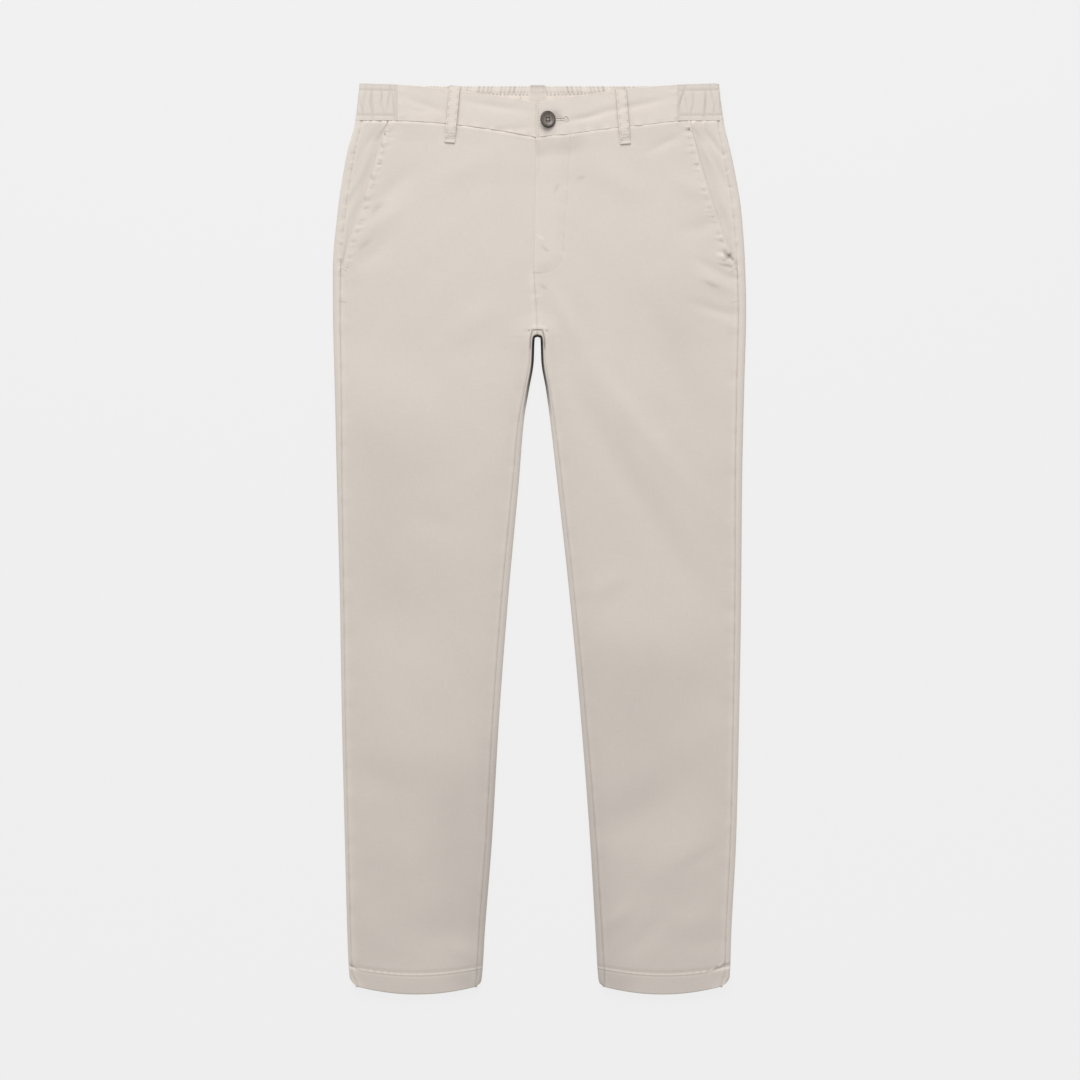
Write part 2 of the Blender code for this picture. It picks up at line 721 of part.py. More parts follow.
def elastic_band(name, side):
    """The gathered band, from the front round the side to the centre back."""
    end, middle = ELASTIC_END[side], CENTRE + side * SEAM_GAP / 2
    side_x = float(edge(OUTER_EDGES, side, SEAM_DROP)) - side * BAND_ROLL_REACH
    front_count = 2 * round(abs(side_x - end) / GATHER) + 1
    back_count = 2 * round(abs(side_x - middle) / GATHER) + 1
    front_wave, back_wave = waves(front_count, 3 + side), waves(back_count, 7 + side)
    roll_wave = waves(BAND_ROLL_STEPS + 1, 11 + side)
    outer_rows, inner_rows = [], []
    for share, height in GATHERS:
        drop = SEAM_DROP * (1.0 - share)
        near = float(edge(OUTER_EDGES, side, drop)) - side * BAND_ROLL_REACH
        outer, inner = [], []
        for t, wave in zip(np.linspace(0.0, 1.0, front_count), front_wave):
            x = end + (near - end) * t
            y = band_y(x, share) + BAND_TOP_DROP * share * t
            face = SIDE_FACE + height * wave * math.sin(math.pi * min(t * 4.0, 0.5))
            outer.append((x, y, face))
            inner.append((x, y, SIDE_FACE - BAND_CLOTH))
        middle_z, half = (SIDE_FACE + LOOP_LIFT) / 2, (SIDE_FACE - LOOP_LIFT) / 2
        seam_y = TOP - SEAM_DROP + SEAM_GAP / 2
        depth = TOP - seam_y
        y = seam_y + depth * share
        for turn, wave in list(zip(np.linspace(0.0, math.pi, BAND_ROLL_STEPS + 1), roll_wave))[1:-1]:
            swell = 0.5 * height * wave
            for points, cut in ((outer, -swell), (inner, BAND_CLOTH)):
                x = near + side * (BAND_ROLL_REACH - cut) * math.sin(turn)
                points.append((x, y, middle_z + (half - cut) * math.cos(turn)))
        for t, wave in zip(np.linspace(0.0, 1.0, back_count), back_wave):
            x = near + (middle - near) * t
            y = seam_y + (depth - BACK_TOP_DROP * ease(t * 6.0)) * share
            plain = ease((abs(x - CENTRE) - 5.0) / 8.0)
            outer.append((x, y, LOOP_LIFT))
            swell = INSIDE_GATHERS * height * wave * plain * ease(4.0 * t)
            inner.append((x, y, LOOP_LIFT + BAND_CLOTH + swell))
        outer_rows.append(outer)
        inner_rows.append(inner)
    return cloth_wall(name, outer_rows, inner_rows, TWILL_INSIDE)


# ---------------------------------------------------------------- belt loops


def front_loop(name, side, loop):
    """A front belt loop, from over the band's top edge down to its foot on the panel."""
    outer_rows, inner_rows = [], []
    half = LOOP_WIDTH / 2
    length = math.hypot(loop.top_x - loop.foot_x, loop.top_y - loop.foot_y)
    lean = (loop.foot_x - loop.top_x) / length
    level = math.sqrt(1.0 - lean**2)
    edge_y = float(band_y(loop.top_x, 1.0))
    foot_drop = TOP - loop.foot_y - float(seam_dip(loop.foot_x))
    foot_face = float(upper_face(side, loop.foot_x, loop.foot_y, foot_drop))
    for share in LOOP_ROWS:
        x = loop.top_x + (loop.foot_x - loop.top_x) * share
        y = loop.top_y + (loop.foot_y - loop.top_y) * share
        over = float(band_face(side, x, min(y, edge_y))) + LOOP_CLEARANCE
        rest = foot_face + LOOP_CLEARANCE
        z = over + (rest - over) * ease((share - 0.7) / 0.2)
        z += LOOP_ARCH * math.sin(math.pi * np.clip((share - 0.05) / 0.9, 0.0, 1.0)) ** 0.8
        z -= 2.0 * float(ease((y - edge_y - 0.8) / 3.0))
        across = ((-half, 0.0), (-0.6 * half, LOOP_CROWN), (0.6 * half, LOOP_CROWN), (half, 0.0))
        outer, inner = [], []
        for reach, crown in across:
            spot = (x + reach * level, y + reach * lean)
            outer.append((*spot, z + LOOP_CLOTH + crown))
            inner.append((*spot, z))
        outer_rows.append(outer)
        inner_rows.append(inner)
    return cloth_wall(name, outer_rows, inner_rows, TWILL)


def back_loop(name, x):
    """A side back belt loop, pressed flat between the waistband and the ground."""
    outer_rows, inner_rows = [], []
    for share in (0.0, 0.25, 0.5, 0.75, 1.0):
        y = TOP - BACK_TOP_DROP - BACK_LOOP_LENGTH * share
        sides = (x - LOOP_WIDTH / 2, x + LOOP_WIDTH / 2)
        outer_rows.append([(s, y, 0.0) for s in sides])
        inner_rows.append([(s, y, LOOP_CLOTH) for s in sides])
    return cloth_wall(name, outer_rows, inner_rows, TWILL)


def centre_loop(name):
    """The centre back belt loop, which turns over the band's top edge to its inside."""
    top_y = TOP - BACK_TOP_DROP + 0.5
    high = LOOP_LIFT + BAND_CLOTH + LOOP_CLEARANCE
    middle = half = (high + LOOP_CLOTH) / 2
    path = [(top_y - BACK_LOOP_LENGTH * share, 0.0, LOOP_CLOTH) for share in (1.0, 0.7, 0.4, 0.1)]
    bulge = CENTRE_LOOP_BULGE
    for turn in np.linspace(0.0, math.pi, 6):
        out_y, out_z = top_y + bulge * math.sin(turn), middle - half * math.cos(turn)
        in_y = top_y + (bulge - LOOP_CLOTH) * math.sin(turn)
        in_z = middle - (half - LOOP_CLOTH) * math.cos(turn)
        path.append((out_y, out_z, (in_y, in_z)))
    for reach in (CENTRE_LOOP_INSIDE / 2, CENTRE_LOOP_INSIDE):
        path.append((top_y - reach, middle + half, middle + half - LOOP_CLOTH))
    outer_rows, inner_rows = [], []
    for y, z, inside in path:
        in_y, in_z = inside if isinstance(inside, tuple) else (y, inside)
        sides = [CENTRE + reach * CENTRE_LOOP_WIDTH / 2 for reach in (-1.0, 1.0)]
        outer_rows.append([(x, y, z) for x in sides])
        inner_rows.append([(x, in_y, in_z) for x in sides])
    return cloth_wall(name, outer_rows, inner_rows, TWILL)


# ---------------------------------------------------------------- button

BUTTON_PROFILE = (
    (0.0, 1.6),
    (3.6, 1.6),
    (4.8, 2.0),
    (6.4, 2.7),
    (8.0, 3.0),
    (9.3, 2.7),
    (10.0, 1.9),
    (9.8, 1.0),
    (8.8, 0.3),
    (7.2, 0.0),
    (0.0, 0.0),
)


def button(name):
    """A turned four-hole button with a dished middle, tilted a little on its shank."""
    profile = bpy.data.meshes.new(name)
    points = [(r * MM, 0.0, z * MM) for r, z in BUTTON_PROFILE]
    profile.from_pydata(points, [(i, i + 1) for i in range(len(points) - 1)], [])
    disc = finish_object(name, profile, HORN)
    screw = disc.modifiers.new("turn", "SCREW")
    screw.axis = "Z"
    screw.steps = screw.render_steps = BUTTON_SIDES
    screw.use_merge_vertices = True
    screw.merge_threshold = 0.00002
    screw.use_normal_calculate = True
    screw.use_smooth_shade = True
    over_band = float(band_face(LEFT, *BUTTON_AT)) + BUTTON_CLEARANCE
    rise = BUTTON_DIAMETER / 2 * math.sin(BUTTON_TILT) - 0.6
    place = (BUTTON_AT[0] * MM, BUTTON_AT[1] * MM, (over_band + rise) * MM)
    disc.location = place
    disc.rotation_euler = (0.0, BUTTON_TILT, 0.0)
    for i in range(4):
        angle = math.radians(45 + 90 * i)
        reach = BUTTON_HOLE_SPACING / math.sqrt(2) * MM
        bpy.ops.mesh.primitive_cylinder_add(
            vertices=HOLE_SIDES, radius=BUTTON_HOLE / 2 * MM, depth=BUTTON_DIAMETER * MM
        )
        hole = bpy.context.object
        hole.name = f"button_hole_{i + 1}"
        hole.parent = disc
        hole.location = (reach * math.cos(angle), reach * math.sin(angle), 0.0)
        hole.hide_render = True
        hole.display_type = "WIRE"
        for owner in list(hole.users_collection):
            owner.objects.unlink(hole)
        bpy.data.collections["cutters"].objects.link(hole)
        cut = disc.modifiers.new(hole.name, "BOOLEAN")
        cut.operation = "DIFFERENCE"
        cut.object = hole
    return disc


# ---------------------------------------------------------------- the garment


def main():
    for thing in list(bpy.data.objects):
        bpy.data.objects.remove(thing)
    for name in (COLLECTION, "cutters"):
        bpy.context.scene.collection.children.link(bpy.data.collections.new(name))
    for side, word in ((LEFT, "left"), (RIGHT, "right")):
        back_panel(f"back_{word}", side)
        front_panel(f"front_{word}", side)
        pocket_facing(f"pocket_facing_{word}", side)
        front_band(f"waistband_front_{word}", side)
        elastic_band(f"waistband_back_{word}", side)
        front_name = f"belt_loop_front_{word}"
        front_loop(front_name, side, FRONT_LOOPS[front_name])
        back_loop(f"belt_loop_back_{word}", side * BACK_LOOP_X)
    centre_loop("belt_loop_back_centre")
    button("button")


main()
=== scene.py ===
"""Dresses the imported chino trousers: cloth shells, gathers, stitching, button, light and camera.

The trousers lie on their back with the waist towards +Y and the wearer's left leg at +X. Sizes are in
millimetres until a mesh is made, which is in metres. A drop is a distance below the waist's edge.
"""

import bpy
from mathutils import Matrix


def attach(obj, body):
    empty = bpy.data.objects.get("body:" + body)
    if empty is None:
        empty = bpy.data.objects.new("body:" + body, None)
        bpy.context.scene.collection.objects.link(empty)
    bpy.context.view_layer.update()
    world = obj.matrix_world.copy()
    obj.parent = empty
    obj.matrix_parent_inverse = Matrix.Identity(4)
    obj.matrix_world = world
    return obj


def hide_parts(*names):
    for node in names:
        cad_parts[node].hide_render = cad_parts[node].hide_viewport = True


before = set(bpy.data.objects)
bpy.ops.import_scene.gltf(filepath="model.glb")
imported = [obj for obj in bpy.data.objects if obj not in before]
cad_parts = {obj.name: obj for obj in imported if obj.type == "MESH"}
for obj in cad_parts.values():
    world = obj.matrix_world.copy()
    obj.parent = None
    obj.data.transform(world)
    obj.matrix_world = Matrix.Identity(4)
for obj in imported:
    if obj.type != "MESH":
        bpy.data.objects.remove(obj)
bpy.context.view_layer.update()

import logging
import math
from dataclasses import dataclass
from enum import Enum
from functools import partial
from typing import Callable, Iterable, NamedTuple, Sequence

import bmesh
import bpy
import numpy as np
from mathutils import Matrix, Vector
from mathutils.bvhtree import BVHTree

log = logging.getLogger("chinos")

Array = np.ndarray
Thing = bpy.types.Object
Socket = bpy.types.NodeSocket
Colour = tuple[float, float, float]

MM = 0.001
BODY = "root"
FLAT_MAP = "flat_cloth"
WHITE = (1.0, 1.0, 1.0, 1.0)


class Side(Enum):
    """A side of the garment, as its wearer has it. The value is the sign of its x."""

    LEFT = 1
    RIGHT = -1

    @property
    def sign(self) -> int:
        """Sign of x on this side."""
        return self.value

    @property
    def word(self) -> str:
        """The side's name as node names spell it."""
        return self.name.lower()


class Grain(Enum):
    """Way that the warp runs in a piece: the angle of the twill line on its UV map, in degrees."""

    ALONG_LEG = 63.0
    ALONG_BAND = 27.0


# ---- tables of the lay


class Edges(NamedTuple):
    """One value for each leg at a drop, such as the x of an edge."""

    drop: float
    right: float
    left: float


class Level(NamedTuple):
    """One value at a drop, such as a height."""

    drop: float
    value: float


class Fold(NamedTuple):
    """A soft ridge, or a trough where its height is negative, between two points."""

    x0: float
    y0: float
    x1: float
    y1: float
    width: float
    height: float


class Crease(NamedTuple):
    """A gather's crease across the elastic: its distance from the elastic's end, lean and depth."""

    at: float
    lean: float
    depth: float


class Ring(NamedTuple):
    """A ring of the button's turned shape."""

    radius: float
    height: float


class LoopLine(NamedTuple):
    """A front belt loop: the middle of its top and of its foot."""

    top_x: float
    top_y: float
    foot_x: float
    foot_y: float


def table(kind: type, *rows: tuple) -> tuple:
    """Rows of numbers as named ones."""
    return tuple(kind(*row) for row in rows)


OUTER_EDGES = table(
    Edges,
    (0.0, -206.5, 205.8), (42.5, -211.2, 211.2), (76.0, -220.2, 219.1), (99.0, -224.8, 224.0),
    (145.0, -231.7, 231.7), (214.0, -237.5, 236.5), (260.0, -237.4, 237.5), (352.0, -235.2, 235.2),
    (455.5, -232.9, 232.9), (593.5, -229.4, 231.7), (731.5, -227.1, 229.4), (869.5, -223.7, 226.0),
    (973.0, -221.0, 220.6), (1025.8, -218.4, 218.7), (1032.7, -214.8, 215.3), (1037.3, -209.9, 208.9),
)

INNER_EDGES = table(
    Edges,
    (291.0, -5.7, 1.2), (318.0, -6.5, 2.0), (352.0, -12.1, 7.5), (386.0, -17.8, 12.1), (455.5, -23.6, 20.1),
    (593.5, -36.2, 35.1), (731.5, -46.6, 47.7), (869.5, -54.6, 58.1), (973.0, -62.7, 64.2),
    (1025.8, -66.1, 67.3), (1032.7, -67.6, 68.6), (1037.3, -72.6, 73.0),
)

OUTER_WRAPS = table(
    Edges,
    (0.0, 5.0, 5.0), (110.0, 9.2, 9.6), (260.0, 8.5, 9.0), (600.0, 4.4, 7.0), (1046.5, 3.6, 6.0),
)

INNER_WRAPS = table(
    Edges,
    (291.0, 4.6, 4.4), (345.0, 5.0, 4.6), (420.0, 6.4, 5.2), (600.0, 7.4, 5.4), (1046.5, 6.6, 8.2),
)

# how strongly the cloth is shaded beside the inner leg
INNER_SHADES = table(
    Edges,
    (291.0, 0.9, 0.7), (330.0, 0.9, 0.7), (420.0, 0.8, 0.5), (560.0, 0.7, 0.6), (700.0, 0.7, 0.8),
    (800.0, 1.7, 1.1), (960.0, 1.9, 1.7), (1046.5, 1.7, 1.5),
)

POCKET_MOUTHS = table(
    Edges,
    (43.0, -173.5, 172.8), (101.2, -192.6, 188.6), (139.2, -204.0, 200.3), (167.9, -214.5, 210.3),
    (183.0, -219.6, 216.0), (200.0, -224.3, 222.0), (209.0, -225.8, 224.6),
)

# height of the upper face over the ground, away from the edges
UPPER_HEIGHTS = table(
    Level, (0.0, 6.4), (60.0, 6.3), (115.0, 4.8), (220.0, 4.1), (310.0, 3.7), (1046.5, 3.5)
)
# width of the fly from its edge to its stitching
FLY_WIDTHS = table(Level, (43.0, 42.5), (95.0, 39.1), (129.0, 37.9), (165.0, 34.6), (190.0, 33.6))
# how dark the roll beside the fork is painted, as painted shade in the gap between the legs
FORK_SHADES = table(Level, (278.0, 8.15), (290.0, 8.15), (335.0, 6.8), (385.0, 0.0))

LEG_FOLDS = table(
    Fold,
    # left leg: long drag lines from the fork, the knee's broad swell, small folds over the hem
    (42, 232, 196, 34, 14, 1.6), (24, 200, 182, -60, 15, -1.5), (112, 282, 196, 128, 20, -1.3),
    (60, 250, 120, 170, 12, 0.6), (38, -92, 132, -134, 44, 2.1), (116, -142, 214, -98, 42, 1.9),
    (56, -64, 104, -34, 12, 0.9), (60, -336, 164, -276, 30, -2.4), (146, -246, 216, -206, 26, 0.9),
    (120, -388, 190, -350, 20, 1.3), (156, -384, 208, -352, 8, -0.7), (74, -446, 106, -420, 9, 1.1),
    (100, -478, 140, -430, 11, -0.9), (150, -444, 206, -428, 14, 0.8), (168, -468, 212, -458, 8, -0.5),
    # right leg
    (-226, 190, -100, 96, 44, 2.0), (-228, -62, -80, -104, 46, -1.8), (-190, -220, -60, -264, 42, 1.8),
    (-222, -262, -150, -286, 17, -0.8), (-208, -338, -130, -372, 26, 0.9),
    (-150, -458, -66, -440, 26, -2.2), (-110, -464, -72, -478, 9, 0.8), (-214, -400, -180, -468, 13, 0.8),
    (-100, 40, -46, 120, 22, 0.8), (-150, 34, -92, 10, 16, -0.7),
    # seat, hips and the crumples beside the pockets
    (-206, 376, -146, 424, 9, -0.8), (-212, 346, -150, 388, 9, 0.7), (-222, 306, -166, 350, 9, -0.7),
    (-60, 436, -128, 398, 15, 0.6), (62, 430, 122, 398, 15, 0.8), (150, 420, 192, 396, 11, 0.8),
    (164, 352, 214, 372, 9, -0.8), (180, 322, 226, 298, 5, -0.8), (182, 304, 226, 284, 6, 0.8),
    (176, 272, 228, 256, 6, -0.9), (-46, 270, -100, 224, 16, 0.9), (14, 290, 46, 226, 9, 1.0),
    (120, 443, 168, 469, 5, -0.6),
    # soft folds in the pocket facings
    (186, 477, 212, 438, 3.2, -0.9), (181, 463, 208, 414, 3.6, 0.7), (196, 442, 221, 396, 4.0, -0.7),
    (208, 398, 226, 352, 4.0, 0.6), (-184, 473, -209, 434, 3.4, -0.35), (-188, 450, -216, 396, 4.0, 0.35),
    (-204, 412, -226, 366, 4.0, -0.6),
)

# broad painted light and painted shade where the cloth swells and sinks, as marks for the finish
LEG_SHADES = table(
    Fold,
    (60, -40, 196, -50, 46, 0.26), (58, -196, 176, -186, 56, -0.34), (76, -326, 140, -282, 20, -0.3),
    (136, -356, 200, -306, 20, 0.36), (28, 218, 190, -30, 12, -0.18), (60, 205, 180, 45, 13, 0.2),
    (160, 300, 182, 150, 36, -0.3), (68, -505, 112, -508, 11, -0.6), (-186, 150, -160, -60, 40, -0.3),
    (-150, -90, -140, -236, 46, 0.16), (-92, -256, -92, -436, 28, -0.42), (-196, -492, -110, -494, 13, 0.3),
    (-104, -504, -70, -504, 10, -0.6),
)

# where the elastic is stitched through, as shares of the band's depth
STITCH_SHARES = (0.15, 0.82)

# tight creases, also painted with painted shade in their troughs and painted light on their ridges: the
# crushed foot of the left pocket, the fly's crumples
TIGHT_FOLDS = {
    Side.LEFT: table(
        Fold,
        (171, 472, 173, 468, 1.3, -1.2), (211, 331, 225, 319, 1.6, -1.3), (211, 319, 224, 331, 1.6, -1.2),
        (205, 327, 216, 325, 2.2, 0.8), (206, 316, 222, 313, 1.5, -0.6), (190, 296, 208, 288, 2.4, -0.35),
        (23, 408, 17, 396, 1.8, -0.25), (52, 416, 44, 412, 2.2, -0.3), (2, 336, 11, 330, 1.8, -0.3),
        (-3, 348, 6, 344, 2.0, 0.25), (1, 292, 9, 286, 1.8, -0.3),
    ),
    Side.RIGHT: table(
        Fold,
        (-180, 467, -177, 463, 1.3, -1.1), (-182, 455, -178, 446, 1.4, -0.5),
        (-194, 420, -191, 411, 1.6, -0.45), (-203, 396, -199, 386, 1.8, -0.4),
        (-221, 350, -219, 346, 1.3, -0.6), (-224, 343, -221, 340, 1.2, -0.5),
        (-194, 344, -208, 330, 3.0, -0.3), (-180, 386, -194, 372, 3.4, -0.3),
    ),
}

BAND_CREASES = table(
    Fold,
    (-92, 504, -12, 492, 5, -0.6), (-56, 470, -10, 473, 4, -0.5), (-152, 506, -106, 491, 5, -0.6),
    (-150, 494, -128, 490, 3, -0.3), (30, 479, 82, 492, 4, -0.8), (72, 491, 144, 505, 4.5, -0.7),
)

UNDERSIDE_FOLDS = table(
    Fold,
    (60, 210, 150, 120, 16, 0.5), (120, 60, 196, 96, 12, 0.4), (70, -120, 170, -86, 14, 0.5),
    (90, -330, 180, -352, 12, 0.5), (-70, 230, -170, 130, 17, 0.5), (-190, 40, -96, 70, 13, 0.4),
    (-180, -110, -70, -140, 15, 0.5), (-86, -350, -190, -318, 12, 0.5),
)

FRONT_LOOPS = {
    Side.RIGHT: LoopLine(-97.0, 520.5, -103.2, 455.2),
    Side.LEFT: LoopLine(93.2, 519.0, 98.6, 453.6),
}


# ---- curves


def ease(t: Array) -> Array:
    """A soft step from 0 to 1."""
    t = np.clip(t, 0.0, 1.0)
    return t * t * (3.0 - 2.0 * t)


def ramp(value: Array, start: float, end: float) -> Array:
    """A soft step from 0 at a start to 1 at an end."""
    return ease((value - start) / (end - start))


def bell(distance: Array, width: float) -> Array:
    """A bell curve of height 1 over a distance."""
    return np.exp(-((distance / width) ** 2))


def through(knots: Sequence[float], values: Sequence[float], at: Array) -> Array:
    """A smooth curve through points, with no overshoot between them.

    Args:
        knots: Rising positions of the points.
        values: Their values.
        at: Positions to read.

    Returns:
        The values there.
    """
    knots, values = np.asarray(knots, float), np.asarray(values, float)
    steps = np.diff(knots)
    slopes = np.diff(values) / steps
    before, after = slopes[:-1], slopes[1:]
    agree = before * after > 0
    total = np.where(agree, before + after, 1.0)
    inner = np.where(agree, 2.0 * before * after / total, 0.0)
    tangents = np.concatenate([[slopes[0]], inner, [slopes[-1]]])
    at = np.clip(np.asarray(at, float), knots[0], knots[-1])
    i = np.clip(np.searchsorted(knots, at, side="right") - 1, 0, len(steps) - 1)
    t = (at - knots[i]) / steps[i]
    start = values[i] * (1 + 2 * t) * (1 - t) ** 2 + tangents[i] * steps[i] * t * (1 - t) ** 2
    end = values[i + 1] * t * t * (3 - 2 * t) + tangents[i + 1] * steps[i] * t * t * (t - 1)
    return start + end


def value_at(rows: Sequence[Level], drop: Array) -> Array:
    """The value of a table, read at a drop."""
    return through([row.drop for row in rows], [row.value for row in rows], drop)


def edge(rows: Sequence[Edges], side: Side, drop: Array) -> Array:
    """One side's column of a table of edges, read at a drop."""
    return value_at([Level(row.drop, row.left if side is Side.LEFT else row.right) for row in rows], drop)


def plan(x: Array, y: Array) -> Array:
    """Points in plan from their x and y."""
    return np.stack([x, y], axis=-1)


def stepped(*stretches: tuple[float, float]) -> Array:
    """Positions along a length in stretches of even steps.

    Args:
        stretches: Pairs of where a stretch starts and its step. The last one gives only the end.

    Returns:
        The rising positions, both ends included.
    """
    parts = []
    for (start, step), (end, _) in zip(stretches[:-1], stretches[1:]):
        parts.append(np.linspace(start, end, max(1, round((end - start) / step)), endpoint=False))
    return np.concatenate([*parts, [stretches[-1][0]]])


def spaced(line: Array, pitch: float) -> tuple[Array, Array]:
    """Even places along a line in plan.

    Args:
        line: Points of the line, one a row.
        pitch: Distance between places.

    Returns:
        The places, and the line's unit direction at each.
    """
    line = np.asarray(line, float)
    walked = np.concatenate([[0.0], np.cumsum(np.linalg.norm(np.diff(line, axis=0), axis=1))])
    count = max(2, round(walked[-1] / pitch) + 1)
    at = np.linspace(0.0, walked[-1], count)
    places = np.stack([np.interp(at, walked, line[:, k]) for k in (0, 1)], axis=1)
    nudge = 0.5 * pitch
    ahead = np.stack([np.interp(at + nudge, walked, line[:, k]) for k in (0, 1)], axis=1)
    behind = np.stack([np.interp(at - nudge, walked, line[:, k]) for k in (0, 1)], axis=1)
    ways = ahead - behind
    return places, ways / np.linalg.norm(ways, axis=1, keepdims=True)


def folds_height(folds: Iterable[Fold], x: Array, y: Array) -> Array:
    """The sum of soft ridges and troughs at points in plan."""
    x, y = np.broadcast_arrays(x, y)
    total = np.zeros(x.shape)
    for fold in folds:
        run, rise = fold.x1 - fold.x0, fold.y1 - fold.y0
        length = math.hypot(run, rise)
        along = ((x - fold.x0) * run + (y - fold.y0) * rise) / length**2
        bend = 0.25 * fold.width * np.sin(3.0 * along)
        across = ((y - fold.y0) * run - (x - fold.x0) * rise) / length + bend
        ends = np.sin(np.pi * np.clip((along + 0.2) / 1.4, 0.0, 1.0)) ** 1.5
        total = total + fold.height * ends * bell(across, fold.width)
    return total


# ---- small creases


@dataclass(frozen=True)
class Pucker:
    """A short crease that starts at a stitched line and dies out away from it."""

    x: float
    y: float
    angle: float
    length: float
    width: float
    height: float

    def add_to(self, total: Array, x: Array, y: Array) -> None:
        """Adds the crease's height to the points of a surface.

        Args:
            total: Heights so far, changed in place.
            x: The points' x.
            y: The points' y.
        """
        reach = self.length * 1.3
        near = (np.abs(x - self.x) < reach) & (np.abs(y - self.y) < reach)
        if not near.any():
            return
        dx, dy = x[near] - self.x, y[near] - self.y
        along = dx * math.cos(self.angle) + dy * math.sin(self.angle)
        across = dy * math.cos(self.angle) - dx * math.sin(self.angle)
        fade = np.where(along < 0, bell(along, 1.6), np.clip(1.0 - along / self.length, 0, 1) ** 1.4)
        width = self.width * (1.0 + 0.8 * np.clip(along / self.length, 0, 1))
        total[near] += self.height * fade * bell(across, width)


@dataclass(frozen=True)
class PuckerRow:
    """A row of uneven puckers along a stitched line."""

    pitch: float
    length: float
    width: float
    height: float
    lean: float = 0.35
    turn: int = 1

    def along(self, line: Array, seed: int) -> list[Pucker]:
        """Lays the puckers along a line.

        Args:
            line: Points of the line in plan.
            seed: Seed of the unevenness.

        Returns:
            The puckers, ridges and troughs in turn.
        """
        chance = np.random.default_rng(seed)
        places, ways = spaced(line, self.pitch)
        made = []
        for i, (place, way) in enumerate(zip(places, ways)):
            slide = chance.uniform(-0.4, 0.4) * self.pitch
            start = place + way * slide
            square = math.atan2(way[1], way[0]) + self.turn * math.pi / 2
            size = chance.uniform(0.35, 1.35)
            made.append(
                Pucker(
                    x=float(start[0]),
                    y=float(start[1]),
                    angle=square + chance.uniform(-self.lean, self.lean),
                    length=self.length * chance.uniform(0.6, 1.4),
                    width=self.width * chance.uniform(0.7, 1.3),
                    height=self.height * size * (1 if i % 2 else -1),
                )
            )
        return made


def puckers_height(puckers: Iterable[Pucker], x: Array, y: Array) -> Array:
    """The sum of small creases at points in plan."""
    total = np.zeros(np.broadcast(x, y).shape)
    for pucker in puckers:
        pucker.add_to(total, x, y)
    return total


# ---- how the trousers lie


